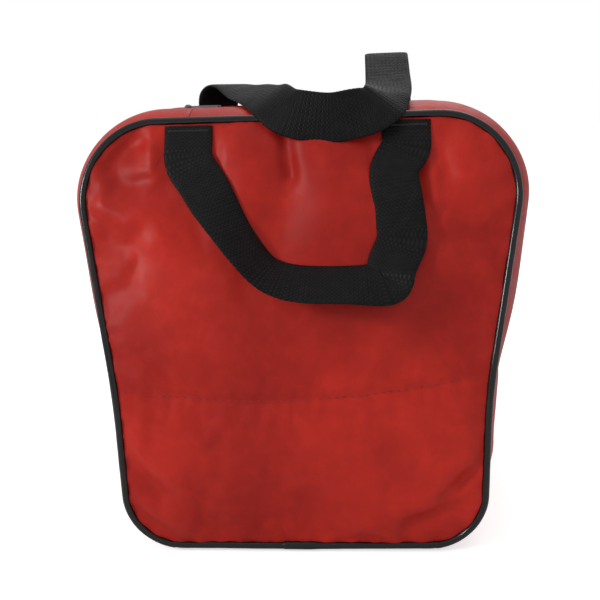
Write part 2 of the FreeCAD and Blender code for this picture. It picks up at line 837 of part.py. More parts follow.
def build():
    """Every piece of the bag, by node name."""
    parts = {}
    parts["front_panel"] = panel_layer(-1, 0.0, cloth, 0.0)
    parts["rear_panel"] = turned_to_rear(parts["front_panel"])
    parts["base_panel"] = base_panel()
    parts["right_gusset"] = side_gusset()
    parts["left_gusset"] = mirrored(parts["right_gusset"])
    band = corner_band()
    parts["front_right_band"] = band
    parts["front_left_band"] = mirrored(band)
    parts["rear_right_band"] = turned_to_rear(band)
    parts["rear_left_band"] = turned_to_rear(mirrored(band))
    parts["front_top_flap"] = top_flap()
    parts["rear_top_flap"] = turned_to_rear(parts["front_top_flap"])
    parts["front_piping"] = piping()
    parts["rear_piping"] = turned_to_rear(parts["front_piping"])
    parts["front_seam_binding"] = binding()
    parts["rear_seam_binding"] = turned_to_rear(parts["front_seam_binding"])
    parts["front_foam_pad"] = foam_pad()
    parts["rear_foam_pad"] = turned_to_rear(parts["front_foam_pad"])
    parts["front_pocket_lining"] = pocket_lining()
    parts["rear_pocket_lining"] = turned_to_rear(parts["front_pocket_lining"])
    parts["base_board"], parts["base_foam"], parts["ball_cup"] = base_stack()
    parts["front_zip_tape"] = flap_tape(-1)
    parts["rear_zip_tape"] = flap_tape(1)
    parts["front_zip_teeth"] = flap_teeth(-1)
    parts["rear_zip_teeth"] = flap_teeth(1)
    parts["right_zip_end_tape"] = end_tape()
    parts["left_zip_end_tape"] = mirrored(parts["right_zip_end_tape"])
    parts["right_zip_end_teeth"] = end_teeth()
    parts["left_zip_end_teeth"] = mirrored(parts["right_zip_end_teeth"])
    stop, tab = zip_end_fittings()
    parts["zip_end_stops"] = Part.makeCompound([stop, mirrored(stop)])
    parts["zip_end_tabs"] = Part.makeCompound([tab, mirrored(tab)])
    parts["zip_slider"] = zip_slider()
    parts["zip_pull"] = zip_pull()
    parts["front_handle_left_end"] = sewn_end(-handle_half_span)
    parts["front_handle_right_end"] = sewn_end(handle_half_span)
    parts["rear_handle_left_end"] = turned_to_rear(parts["front_handle_left_end"])
    parts["rear_handle_right_end"] = turned_to_rear(parts["front_handle_right_end"])
    parts["front_handle_bartacks"] = bartacks(-1)
    parts["rear_handle_bartacks"] = bartacks(1)
    parts["front_handle"] = front_handle()
    parts["rear_handle"] = rear_handle()
    parts["front_waist_stitches"] = waist_stitches()
    parts["rear_waist_stitches"] = turned_to_rear(parts["front_waist_stitches"])
    return parts


os.makedirs("parts", exist_ok=True)
for node, shape in build().items():
    shape.exportStep("parts/" + node + ".step")
    box = shape.BoundBox
    print(f"{node:26s} solids {len(shape.Solids):3d} valid {shape.isValid()} "
          f"volume {shape.Volume:10.1f} z {box.ZMin:7.2f} {box.ZMax:7.2f}")
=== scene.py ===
import math

import bpy
import numpy as np
from mathutils import Matrix, Vector


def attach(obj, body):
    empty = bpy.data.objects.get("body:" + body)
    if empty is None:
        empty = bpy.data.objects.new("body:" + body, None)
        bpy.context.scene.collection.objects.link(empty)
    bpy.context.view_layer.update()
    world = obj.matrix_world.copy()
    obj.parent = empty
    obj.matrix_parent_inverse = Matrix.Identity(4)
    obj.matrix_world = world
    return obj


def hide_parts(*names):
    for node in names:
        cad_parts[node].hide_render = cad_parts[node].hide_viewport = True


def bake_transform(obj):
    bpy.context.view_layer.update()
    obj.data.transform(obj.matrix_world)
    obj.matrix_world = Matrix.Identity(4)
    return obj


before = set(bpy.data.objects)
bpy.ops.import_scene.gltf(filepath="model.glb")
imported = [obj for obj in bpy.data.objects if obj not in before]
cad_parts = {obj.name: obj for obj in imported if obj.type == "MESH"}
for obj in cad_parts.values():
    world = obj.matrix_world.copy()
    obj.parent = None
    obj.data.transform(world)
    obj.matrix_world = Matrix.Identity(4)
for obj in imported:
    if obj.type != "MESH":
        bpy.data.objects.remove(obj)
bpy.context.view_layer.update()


# ---------------------------------------------------------------------------------------------
# Front and rear panels. Each is one piece of coated nylon cloth, cut as a rounded trapezoid and
# sewn all round into the piping seam. A seam across it at the waist holds the foam pocket behind.
# The cloth is soft: it fills out a little, and the corners and the loops pull folds into it.

MM = 0.001
foot_height, waist_height, body_height = 4.0, 113.0, 287.5
base_half_width, top_half_width = 121.0, 153.5
base_half_depth, top_half_depth = 116.0, 60.0
base_corner, waist_corner, top_corner, waist_bend = 38.0, 250.0, 50.0, 150.0
base_flat_half, top_flat_half, outline_steps = base_half_width - base_corner, 93.33, 4000
waist_low, waist_rise, waist_low_x, waist_reach = 111.5, 12.5, -28.0, 140.0
panel_crown, cloth, front_pull, rear_pull = 6.0, 1.2, 1.55, 1.1
span, strap_flat_from = 71.5, 248.0
faces = ((-1, "front"), (1, "rear"))
bag_middle = np.array([0.0, 0.0, 145.0])
red_deep, red_bright = (0.315, 0.0110, 0.0070, 1.0), (0.520, 0.0225, 0.0130, 1.0)


def ease(low, high, value):
    """Place of a value between two limits, 0 to 1, as the smooth cubic step."""
    t = np.clip((value - low) / (high - low), 0.0, 1.0)
    return t * t * (3.0 - 2.0 * t)


def unit(vectors):
    """Vectors divided by their own lengths."""
    return vectors / np.linalg.norm(vectors, axis=-1, keepdims=True)


def reach_of(line):
    """Distance run along a line of points up to each of them: the sum of the steps before it."""
    return np.concatenate([[0.0], np.cumsum(np.linalg.norm(np.diff(line, axis=0), axis=1))])


def along_line(places, reach, line):
    """Points of a line at given distances along it, on the straight steps between its own points."""
    return np.stack([np.interp(places, reach, column) for column in line.T], axis=1)


def seam_depth(z):
    """Depth of the piping seam at a height: upright, then an arc, then a straight lean inwards."""
    lean = math.atan2(base_half_depth - top_half_depth, body_height - waist_height)
    reach = waist_bend * math.tan(lean / 2.0)
    rise = np.clip(z - waist_height + reach, 0.0, waist_bend * math.sin(lean))
    arc = base_half_depth - waist_bend + np.sqrt(waist_bend ** 2 - rise ** 2)
    slope = base_half_depth - (z - waist_height) * math.tan(lean)
    return np.where(z < waist_height + reach * math.cos(lean), arc, slope)


def rounded_outline(count):
    """Evenly spaced points (x, z) round the trapezoid, anticlockwise from the bottom centre.
    Each corner is an arc tangent to its two sides; the run is then divided by its length."""
    right = [(base_half_width, foot_height, base_corner), (base_half_width, waist_height, waist_corner),
             (top_half_width, body_height, top_corner)]
    corners = right + [(-x, z, radius) for x, z, radius in right[::-1]]
    run = [np.array([[0.0, foot_height]])]
    for index, (x, z, radius) in enumerate(corners):
        corner = np.array([x, z])
        back = unit(np.array(corners[index - 1][:2]) - corner)
        ahead = unit(np.array(corners[(index + 1) % len(corners)][:2]) - corner)
        half = math.acos(float(back @ ahead)) / 2.0
        centre = corner + unit(back + ahead) * radius / math.sin(half)
        start = corner + back * radius / math.tan(half) - centre
        end = corner + ahead * radius / math.tan(half) - centre
        turn = np.linspace(0.0, 1.0, 33)[:, None]
        sweep = math.pi - 2.0 * half
        arc = (np.sin((1.0 - turn) * sweep) * start + np.sin(turn * sweep) * end) / math.sin(sweep)
        run.append(centre + arc)
    run.append(np.array([[0.0, foot_height]]))
    run = np.concatenate(run)
    reach = reach_of(run)
    return along_line(np.linspace(0.0, reach[-1], count, endpoint=False), reach, run)


def half_width(z):
    """Half width of the outline at a height, with its rounded corners."""
    fine = rounded_outline(outline_steps)
    climbing = (fine[:, 1] > foot_height + 1e-6) & (fine[:, 1] < body_height - 1e-6)
    right = fine[climbing & (fine[:, 0] > 0.0)]
    order = np.argsort(right[:, 1])
    heights = np.concatenate([[foot_height], right[order, 1], [body_height]])
    widths = np.concatenate([[base_flat_half], right[order, 0], [top_flat_half]])
    return np.interp(z, heights, widths)


def crown(x, z):
    """Fill of a panel over its seam plane: a parabola across times a parabola up."""
    side = base_half_width + np.clip(z - waist_height, 0.0, None) * (
        (top_half_width - base_half_width) / (body_height - waist_height))
    middle, half = (body_height + foot_height) / 2.0, (body_height - foot_height) / 2.0
    return panel_crown * np.clip(1 - (x / side) ** 2, 0, 1) * np.clip(1 - ((z - middle) / half) ** 2, 0, 1)


def fold(x, z, start, end, width, height):
    """A ridge, or a dent for a negative height: a bell curve of the distance to a line."""
    run_x, run_z = end[0] - start[0], end[1] - start[1]
    along = ((x - start[0]) * run_x + (z - start[1]) * run_z) / (run_x ** 2 + run_z ** 2)
    along = np.clip(along, 0.0, 1.0)
    gap = (x - start[0] - along * run_x) ** 2 + (z - start[1] - along * run_z) ** 2
    return height * np.exp(-gap / width ** 2)


def waist_line(x):
    """Height of the seam across a panel: it sags a little left of the middle and rises to the sides."""
    return waist_low + waist_rise * ((x - waist_low_x) / waist_reach) ** 2


def rim_distance(x, z):
    """Distance to the nearest edge of the outline, measured across and up."""
    across = half_width(z) - np.abs(x)
    up = np.minimum(z - foot_height, body_height - z)
    return np.minimum(across, up)


def puckers(x, z):
    """Small gathers that run in from the seam round the corners: a sine of the angle, fading inwards."""
    turn = np.arctan2(z - bag_middle[2], x)
    corner = ease(0.50, 0.95, np.abs(np.sin(2.0 * turn)))
    gathers = np.sin(turn * 64.0 + 2.0 * np.sin(3.0 * turn))
    return 0.28 * gathers * corner * np.exp(-rim_distance(x, z) / 7.0)


def folds_of(x, z, rows):
    """Sum of folds, each a row of its start, its end, its width and its height."""
    return sum(fold(x, z, row[:2], row[2:4], row[4], row[5]) for row in rows)


# Folds of the front panel: under the loops, in the corners and along the waist. Nothing but its own
# corners pulls at the rear panel.
front_folds = (
    (-8, 284, -5, 250, 5.5, -3.6), (-5, 252, -13, 214, 13, -2.0), (12, 268, 28, 238, 26, 3.4),
    (-42, 268, -30, 238, 18, 2.2), (44, 276, 52, 258, 8, -1.4), (-124, 262, -104, 280, 9, -3.4),
    (-98, 286, -94, 258, 6.5, 2.6), (-118, 248, -108, 246, 8, -2.8), (-130, 236, -112, 226, 9, 2.4),
    (-126, 214, -108, 200, 12, -1.5), (-104, 240, -92, 214, 12, 1.4), (86, 284, 89, 236, 5.0, 1.9),
    (104, 262, 114, 246, 13, 2.2), (93, 276, 97, 250, 6.0, -1.4), (92, 214, 134, 206, 7, -1.3),
    (90, 196, 130, 186, 8, 1.3), (86, 176, 126, 168, 9, -1.1), (84, 152, 112, 140, 17, -2.4),
    (-121, 70, -96, 44, 8, -2.3), (-112, 84, -84, 58, 13, 2.0), (-104, 36, -78, 22, 9, 1.6),
    (-70, 24, -52, 14, 7, -1.2), (124, 66, 94, 42, 5.5, -2.6), (118, 78, 92, 58, 8, 2.0),
    (104, 34, 72, 22, 6.5, -2.2), (96, 44, 66, 34, 8, 1.6), (40, 22, 58, 14, 7, 1.2))
rear_folds = (
    (12, 284, 4, 246, 9, -2.0), (-30, 262, -10, 232, 22, 2.4), (122, 262, 100, 280, 9, -2.8),
    (-124, 258, -102, 276, 10, -2.6), (-112, 244, -96, 226, 12, 1.8), (116, 240, 100, 214, 14, 1.6),
    (-122, 68, -92, 42, 7, -2.3), (122, 72, 94, 44, 8, -2.1), (-60, 180, 20, 170, 22, -1.6),
    (40, 60, 86, 48, 18, 1.5))


def under_straps(x, z):
    """1 where the end of a strap is sewn down and keeps the cloth flat, 0 elsewhere."""
    return ease(25.0, 17.5, np.abs(np.abs(x) - span)) * ease(strap_flat_from, strap_flat_from + 14.0, z)


def panel_depth(x, z, side):
    """Outer face of a panel: seam depth, crown, waist seam pulled in, folds and gathers at the rim."""
    away = z - waist_line(x)
    pinch = -1.5 * np.exp(-(away / 2.6) ** 2) + 0.9 * np.exp(-((away - 7.0) / 6.0) ** 2)
    ripple = 0.22 * np.sin(x * 0.52 + 1.7 * np.sin(x * 0.083)) * np.exp(-(away / 7.0) ** 2)
    pull, rows = (front_pull, front_folds) if side < 0 else (rear_pull, rear_folds)
    folds = pull * folds_of(x, z, rows) * (1.0 - under_straps(x, z))
    inside = ease(0.0, 16.0, rim_distance(x, z))
    drift = 0.5 * np.sin(x * 0.047 + 0.9 * side) * np.sin(z * 0.041 + 0.4)
    drift = drift + 0.3 * np.sin(x * 0.021 - z * 0.063)
    return seam_depth(z) + crown(x, z) + inside * (folds + pinch + ripple + drift) + puckers(x, z)


def panel_grid(side, columns=111, rows=121):
    """Points of a panel: rows climb the rounded side evenly by length, columns share out the width."""
    right = rounded_outline(outline_steps)[:outline_steps // 2]
    right = right[(right[:, 0] > base_flat_half) & (right[:, 1] < body_height - 1e-6)]
    pick = np.linspace(0, len(right) - 1, rows).astype(int)
    heights = right[pick, 1].copy()
    heights[0], heights[-1] = foot_height, body_height
    width = half_width(heights)[:, None]
    share = np.linspace(-1.0, 1.0, columns)[None, :]
    x = width * share
    z = np.repeat(heights[:, None], columns, axis=1)
    return np.stack([x, side * panel_depth(x, z, side), z], axis=-1)


def walled(made, thick):
    """Gives a sheet its thickness, behind the face on which its points lie."""
    wall = made.modifiers.new("wall", "SOLIDIFY")
    wall.thickness, wall.offset = thick * MM, -1.0


def piece(name, grids, finish, round_across=False, round_along=False, capped=False, thick=0.0,
          middle=bag_middle):
    """A mesh from grids of points in millimetres, shaped (copies, rows, columns, 3): a quad between each
    four neighbours, joined round where asked, with a flat cap on each open end of a tube. Faces are
    turned away from the middle, or outwards where middle is None; thick adds a wall behind them."""
    grids = np.asarray(grids, float)
    grids = grids[None] if grids.ndim == 3 else grids
    copies, rows, columns = grids.shape[:3]
    r, c = np.meshgrid(np.arange(rows if round_along else rows - 1),
                       np.arange(columns if round_across else columns - 1), indexing="ij")
    around = [(0, 0), (0, 1), (1, 1), (1, 0)]
    quads = np.stack([((r + dr) % rows) * columns + (c + dc) % columns for dr, dc in around], -1)
    quads = quads.reshape(-1, 4)
    first = grids[0]
    line = np.concatenate([first[rows // 2], first[rows // 2][:1]])
    climb = np.concatenate([first[:, columns // 2], first[:1, columns // 2]])
    across, along = reach_of(line), reach_of(climb)
    coordinates = np.stack([np.stack([across[c + dc], along[r + dr]], -1) for dr, dc in around], 2)
    coordinates = coordinates.reshape(-1, 4, 2)
    flat = grids.reshape(copies, -1, 3)
    corners = flat[0][quads]
    normals = np.cross(corners[:, 2] - corners[:, 0], corners[:, 3] - corners[:, 1])
    origin = flat[0].mean(axis=0) if middle is None else middle
    turned = float((normals * (corners.mean(axis=1) - origin)).sum()) < 0.0
    if turned:
        quads, coordinates = quads[:, ::-1], coordinates[:, ::-1]
    starts = np.arange(copies) * rows * columns
    polygons = (quads[None] + starts[:, None, None]).reshape(-1, 4).tolist()
    loops = np.tile(coordinates.reshape(-1, 2), (copies, 1))
    if capped:
        ends = []
        for start in starts:
            low = list(range(start, start + columns))
            high = list(range(start + (rows - 1) * columns, start + rows * columns))
            ends += [low if turned else low[::-1], high[::-1] if turned else high]
        polygons += ends
        loops = np.concatenate([loops, np.zeros((len(ends) * columns, 2))])
    mesh = bpy.data.meshes.new(name)
    mesh.from_pydata((flat.reshape(-1, 3) * MM).tolist(), [], polygons)
    layer = mesh.uv_layers.new(name="weave")
    layer.data.foreach_set("uv", (loops * MM).astype(np.float32).ravel())
    mesh.polygons.foreach_set("use_smooth", np.ones(len(mesh.polygons), bool))
    mesh.update()
    made = bpy.data.objects.new(name, mesh)
    bpy.context.scene.collection.objects.link(made)
    made.data.materials.append(finish.material)
    if thick:
        walled(made, thick)
    return made


def tubes(name, grids, finish):
    """Rods and cushions: rings joined round, with a cap on both ends, facing outwards."""
    return piece(name, grids, finish, round_across=True, capped=True, middle=None)


class Value:
    """One output of a node, which takes part in Python arithmetic through Math nodes."""

    def __init__(self, shading, socket):
        self.shading, self.socket = shading, socket

    def math(self, operation, *terms):
        return self.shading.node("ShaderNodeMath", {"operation": operation}, dict(enumerate(terms)))

    def __add__(self, other):
        return self.math("ADD", self, other)

    def __radd__(self, other):
        return self.math("ADD", other, self)

    def __sub__(self, other):
        return self.math("SUBTRACT", self, other)

    def __rsub__(self, other):
        return self.math("SUBTRACT", other, self)

    def __mul__(self, other):
        return self.math("MULTIPLY", self, other)

    def __rmul__(self, other):
        return self.math("MULTIPLY", other, self)

    def __truediv__(self, other):
        return self.math("DIVIDE", self, other)

    def __abs__(self):
        return self.math("ABSOLUTE", self)

    def sine(self):
        return self.math("SINE", self)

    def floor(self):
        return self.math("FLOOR", self)

    def between(self, low, high):
        return self.shading.node("ShaderNodeMapRange", {"interpolation_type": "SMOOTHSTEP"},
                                 {"Value": self, "From Min": low, "From Max": high})


class Shading:
    """A tree of shader nodes, each of which is made by one method."""

    def __init__(self, tree):
        self.tree = tree

    def feed(self, node, inputs):
        """Sets or links the named sockets of a node."""
        for name, value in inputs.items():
            if isinstance(value, Value):
                self.tree.links.new(value.socket, node.inputs[name])
            else:
                node.inputs[name].default_value = value

    def node(self, kind, settings, inputs, output=0):
        """A new node of a kind, with its settings and then its sockets, as the value of one output."""
        made = self.tree.nodes.new(kind)
        for name, value in settings.items():
            setattr(made, name, value)
        self.feed(made, inputs)
        return Value(self, made.outputs[output])


class Finish(Shading):
    """A material of one Principled shader, whose constants are set on its own sockets."""

    def __init__(self, name, constants):
        self.material = bpy.data.materials.new(name)
        self.material.use_nodes = True
        super().__init__(self.material.node_tree)
        self.shader = self.tree.nodes["Principled BSDF"]
        self.feed(self.shader, constants)

    def place(self, output="Object"):
        return self.node("ShaderNodeTexCoord", {}, {}, output)

    def across_and_along(self):
        """The piece's own UV map as two numbers in metres: across the cloth, and along it."""
        flat = self.place("UV")
        return [self.node("ShaderNodeSeparateXYZ", {}, {0: flat}, axis) for axis in (0, 1)]

    def noise(self, scale, detail=2.0, rough=0.5):
        return self.node("ShaderNodeTexNoise", {}, {"Vector": self.place(), "Scale": scale,
                                                    "Detail": detail, "Roughness": rough})

    def tint(self, share, low, high):
        return self.node("ShaderNodeMix", {"data_type": "RGBA"}, {0: share, 6: low, 7: high}, 2)

    def bump(self, height, distance, strength, under=None):
        inputs = {"Height": height, "Distance": distance, "Strength": strength}
        if under is not None:
            inputs["Normal"] = under
        return self.node("ShaderNodeBump", {}, inputs)

    def shade(self, inputs):
        self.feed(self.shader, inputs)
        return self


def woven(finish, pitch):
    """Height of a plain weave on the UV map: threads each way, one over the other in turn."""
    across, along = finish.across_and_along()
    warp = (across * (math.tau / pitch)).sine()
    weft = (along * (math.tau / pitch)).sine()
    return warp * weft * 0.5 + 0.5


def coated_cloth(name, deep, bright):
    """Coated nylon: a fine plain weave under a thin satin coat, with soft crumples and uneven dye."""
    finish = Finish(name, {"Specular IOR Level": 0.17})
    crumple = finish.bump(finish.noise(62.0, 3.0, 0.55), 0.0011, 0.34)
    grain = finish.bump(woven(finish, 0.0010), 0.00007, 0.55, crumple)
    dye = finish.noise(9.0, 4.0, 0.55).between(0.36, 0.66)
    rub = finish.noise(120.0, 3.0, 0.6).between(0.42, 0.70)
    return finish.shade({"Base Color": finish.tint(dye * 0.75 + rub * 0.18, deep, bright),
                         "Roughness": 0.43 + rub * 0.09 - dye * 0.05, "Normal": grain})


def relaxed(sheet, held, most, growth):
    """Lets a sheet settle as cloth held along its edge, slightly too large for its frame and lightly
    blown up from behind, and then takes each point at most a given distance along that way."""
    count = len(sheet.data.vertices)
    start = np.zeros(count * 3)
    sheet.data.vertices.foreach_get("co", start)
    group = sheet.vertex_groups.new(name="held")
    group.add(np.flatnonzero(held).tolist(), 1.0, "REPLACE")
    modifier = sheet.modifiers.new("settle", "CLOTH")
    rules = modifier.settings
    rules.vertex_group_mass = "held"
    rules.quality, rules.mass = 5, 0.3
    rules.tension_stiffness, rules.compression_stiffness, rules.shear_stiffness = 30.0, 30.0, 12.0
    rules.bending_stiffness, rules.bending_damping = 3.0, 1.0
    rules.shrink_min = -growth
    rules.use_pressure, rules.uniform_pressure_force = True, 0.35
    rules.effector_weights.gravity = 0.0
    modifier.collision_settings.use_collision = False
    modifier.collision_settings.use_self_collision = False
    scene = bpy.context.scene
    for step in range(1, 21):
        scene.frame_set(step)
    settled = np.zeros(count * 3)
    sheet.evaluated_get(bpy.context.evaluated_depsgraph_get()).data.vertices.foreach_get("co", settled)
    sheet.modifiers.remove(modifier)
    sheet.vertex_groups.remove(group)
    scene.frame_set(1)
    move = (settled - start).reshape(-1, 3)
    length = np.linalg.norm(move, axis=1, keepdims=True)
    capped = move * np.minimum(1.0, most * MM / np.maximum(length, 1e-9))
    sheet.data.vertices.foreach_set("co", (start.reshape(-1, 3) + capped).ravel())
    sheet.data.update()


red_cloth = coated_cloth("coated red nylon", red_deep, red_bright)
for side, place in faces:
    grid = panel_grid(side)
    panel = piece(place + "_panel_cloth", grid, red_cloth)
    edge = np.zeros(grid.shape[:2], bool)
    edge[0], edge[-1], edge[:, 0], edge[:, -1] = True, True, True, True
    edge |= np.abs(grid[..., 2] - waist_line(grid[..., 0])) < 1.2
    edge |= under_straps(grid[..., 0], grid[..., 2]) > 0.5
    relaxed(panel, edge.ravel(), 3.0, 0.008)
    walled(panel, cloth)
    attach(panel, "root")
    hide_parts(place + "_panel")


# ---------------------------------------------------------------------------------------------
# Waist seams. A row of stitches in red bonded thread runs across each panel and closes the pocket
# that holds the foam; each stitch dips into the cloth at both ends.

stitch_length, stitch_gap, thread, stitch_arch = 3.2, 1.8, 0.32, 0.22


def pill(length, radius, lift, rows=7, columns=8):
    """A stitch lying along its first axis: rings of a circle whose radius follows a half circle at
    each end, and whose middle line is a sine arch that stands up by the lift."""
    turn = np.linspace(-1.0, 1.0, rows)[:, None]
    around = np.linspace(0.0, math.tau, columns, endpoint=False)[None, :]
    waist = radius * np.sqrt(np.clip(1.0 - 0.96 * turn ** 4, 0.03, 1.0))
    x = np.repeat(turn * length / 2.0, columns, axis=1)
    y = waist * np.cos(around)
    z = waist * np.sin(around) + lift * (1.0 - turn ** 2)
    return np.stack([x, y, z], axis=-1)


def set_out(shape, places, along, outward):
    """Copies of a shape, one at each place, with its first axis along and its third outward."""
    along = unit(along)
    aside = unit(np.cross(outward, along))
    axes = np.stack([along, aside, np.cross(along, aside)], axis=1)
    return places[:, None, None, :] + np.einsum("rcj,njk->nrck", shape, axes)


def stitch_row(line, outward, pitch=stitch_length + stitch_gap, length=stitch_length):
    """Stitches at even distances along a finely divided line, standing out along its normals."""
    reach = reach_of(line)
    places = np.arange(pitch * 0.5, reach[-1] - pitch * 0.3, pitch)
    centre, ahead = along_line(places, reach, line), along_line(places + 0.5, reach, line)
    normal = along_line(places, reach, outward)
    return set_out(pill(length, thread, stitch_arch), centre, ahead - centre, normal)


def thread_finish(name, deep, bright):
    """Twisted thread: fine plies that run round it, seen as a ripple in tone and bump."""
    finish = Finish(name, {"Specular IOR Level": 0.35, "Sheen Weight": 0.2, "Roughness": 0.62})
    across, along = finish.across_and_along()
    ply = (along * 5200.0 + across * 2600.0).sine() * 0.5 + 0.5
    return finish.shade({"Base Color": finish.tint(ply, deep, bright),
                         "Normal": finish.bump(ply, 0.0001, 0.5)})


red_thread = thread_finish("red thread", (0.20, 0.010, 0.008, 1.0), (0.36, 0.016, 0.012, 1.0))
for side, place in faces:
    reach = half_width(waist_height) - 4.0
    x = np.linspace(-reach, reach, 700)
    z = waist_line(x)
    line = np.stack([x, side * (panel_depth(x, z, side) + 0.10), z], axis=1)
    outward = np.tile([0.0, side, 0.05], (len(x), 1))
    stitches = tubes(place + "_waist_seam_stitches", stitch_row(line, outward), red_thread)
    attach(stitches, "root")
    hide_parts(place + "_waist_stitches")


# ---------------------------------------------------------------------------------------------
# Gusset. A band of the same cloth joins the two panels all round. It bulges at the sides where the
# bag is full, and at the top it is cut in two lengthways for the zip: two corner bands each side,
# and between them the two flaps that fold back when the bag is open.

side_bulge, top_bulge, top_valley = 22.5, 8.8, 0.55
zip_slot, zip_end_height, flap_half_length, flap_gap, flap_rim = 6.0, 222.0, 72.0, 0.4, 3.2
hands = ((False, "right"), (True, "left"))


def gusset_line(start_z, end_x):
    """Points up the right side of the outline and their outward normals: from the flat of the base or
    a height, up to the end of the zip or, over the corner, a distance from the middle of the top."""
    fine = rounded_outline(2 * outline_steps)[:outline_steps + 200]
    ahead = unit(np.gradient(fine, axis=0))
    outward = np.stack([ahead[:, 1], -ahead[:, 0]], axis=1)
    started = fine[:, 0] >= base_flat_half if start_z is None else fine[:, 1] >= start_z
    if end_x is None:
        ended = fine[:, 1] >= zip_end_height + 0.1
    else:
        ended = (fine[:, 1] > body_height - 1e-3) & (fine[:, 0] <= end_x)
    inside = slice(np.argmax(started), np.argmax(ended))
    return fine[inside], outward[inside]


def low_share(z):
    """1 at the base and 0 above its rounded corner, by the smooth cubic step."""
    return 1.0 - ease(foot_height, foot_height + base_corner, z)


def gusset_swell(z, share):
    """How far the gusset stands out of the outline at a height and a share of the seam depth: a
    flat-topped bell across, full at the sides of the bag, which sinks towards the zip near the top."""
    level = np.clip((z - foot_height) / (body_height - foot_height), 0.0, 1.0)
    full = top_bulge * level ** 2 + side_bulge * np.sin(math.pi * level ** 0.8)
    full = np.maximum(full, foot_height * low_share(z))
    power = 2.0 + 2.0 * ease(waist_height, body_height, z) + 8.0 * low_share(z)
    valley = top_valley * ease(zip_end_height, body_height, z)
    return full * (1.0 - share ** power) * (1.0 - valley * (1.0 - share) ** 3)


def gusset_surface(points, outward, share):
    """Places on the gusset: outline point plus outward normal times the swell and its creases, at
    shares of the seam depth."""
    z = points[:, 1][:, None]
    f = np.abs(share)[None, :]
    y = seam_depth(z) * share[None, :]
    rest = ease(1.0, 0.86, f) * (1.0 - low_share(z)) * (1.0 - ease(waist_height, body_height, z)) ** 0.3
    creases = 1.1 * np.sin(z * 0.075 + 1.5 * np.sin(y * 0.031)) * np.sin(y * 0.018 + 0.6)
    creases = creases + folds_of(y, z, (
        (-70, 118, 60, 108, 6.0, -2.4), (-30, 150, 70, 166, 9.0, 1.5),
        (-90, 62, -20, 54, 9.0, 1.4), (20, 82, 96, 70, 10.0, -1.3)))
    swell = gusset_swell(z, f) + rest * creases
    x = points[:, :1] + outward[:, :1] * swell
    height = z + outward[:, 1:] * swell
    return np.stack([x, y, height], axis=-1)


def sided(grid, mirror):
    """A grid of the right side as it is, or its mirror image on the left."""
    return grid * np.array([-1.0, 1.0, 1.0]) if mirror else grid


def hemmed(share_from, share_to, count):
    """Shares of the depth from one edge to the other, closer together near both edges."""
    turn = np.linspace(0.0, math.pi, count)
    return share_from + (share_to - share_from) * 0.5 * (1.0 - np.cos(turn))


def thinned(line, count):
    """A number of the points of a line and their normals, evenly picked, with both end points."""
    picked = np.linspace(0, len(line[0]) - 1, count).round().astype(int)
    return line[0][picked], line[1][picked]


side_points, side_out = thinned(gusset_line(None, None), 56)
for mirror, place in hands:
    grid = gusset_surface(side_points, side_out, hemmed(-1.0, 1.0, 91))
    gusset = piece(place + "_gusset_cloth", sided(grid, mirror), red_cloth, thick=cloth)
    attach(gusset, "root")
    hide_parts(place + "_gusset")

band_points, band_out = thinned(gusset_line(zip_end_height, flap_half_length + flap_gap), 40)
flap_x = np.linspace(flap_half_length, -flap_half_length, 97)
top_points = np.stack([flap_x, np.full(len(flap_x), body_height)], axis=1)
top_out = np.tile([0.0, 1.0], (len(flap_x), 1))
slot_edge = zip_slot / top_half_depth
for side, place in faces:
    grid = gusset_surface(band_points, band_out, hemmed(side, side * slot_edge, 31))
    for mirror, hand in hands:
        band = piece(place + "_" + hand + "_band_cloth", sided(grid, mirror), red_cloth, thick=cloth)
        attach(band, "root")
        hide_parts(place + "_" + hand + "_band")
    rim = side * (1.0 - flap_rim / top_half_depth)
    grid = gusset_surface(top_points, top_out, hemmed(rim, side * slot_edge, 31))
    flap = piece(place + "_flap_cloth", grid, red_cloth, thick=cloth)
    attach(flap, place + "_top_flap")
    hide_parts(place + "_top_flap")


# ---------------------------------------------------------------------------------------------
# Base panel. The cloth under the bag, turned up at the front and rear to meet the piping.

base_flat_share = 0.85
base_x = np.linspace(-base_flat_half, base_flat_half, 61)[None, :]
base_y = hemmed(-base_half_depth, base_half_depth, 81)[:, None]
outer = np.abs(base_y) / base_half_depth
rise = foot_height * ease(base_flat_share, 1.0, outer)
sag = 0.25 * (1.0 - np.cos(base_x * 0.11)) * ease(base_flat_share, 0.3, outer)
base_grid = np.stack(np.broadcast_arrays(base_x, base_y, rise + 0.02 + sag), axis=-1)
base = piece("base_panel_cloth", base_grid, red_cloth, thick=cloth)
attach(base, "root")
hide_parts("base_panel")


# ---------------------------------------------------------------------------------------------
# Piping. A cord in a strip of glossy black vinyl, sewn between panel and gusset all round. Its two
# ends overlap at the middle of the base, where the bead is thicker for a short way.

piping_radius, overlap_from, overlap_to, overlap_bulge, overlap_lift = 2.5, -15.0, 13.0, 0.55, 0.3


def ring_ahead(line):
    """Direction of a closed line at each of its points, from the point before to the one after."""
    return unit(np.roll(line, -1, axis=0) - np.roll(line, 1, axis=0))


def tube_round(line, radius, columns=20):
    """Rings of a circle of a given radius along a closed line, square to it and upright to its plane."""
    ahead = ring_ahead(line)
    aside = unit(np.cross(ahead, np.array([0.0, 1.0, 0.0])))[:, None, :]
    other = np.cross(ahead, aside[:, 0])[:, None, :]
    turn = np.linspace(0.0, math.tau, columns, endpoint=False)[None, :, None]
    return line[:, None, :] + (aside * np.cos(turn) + other * np.sin(turn)) * radius[:, None, None]


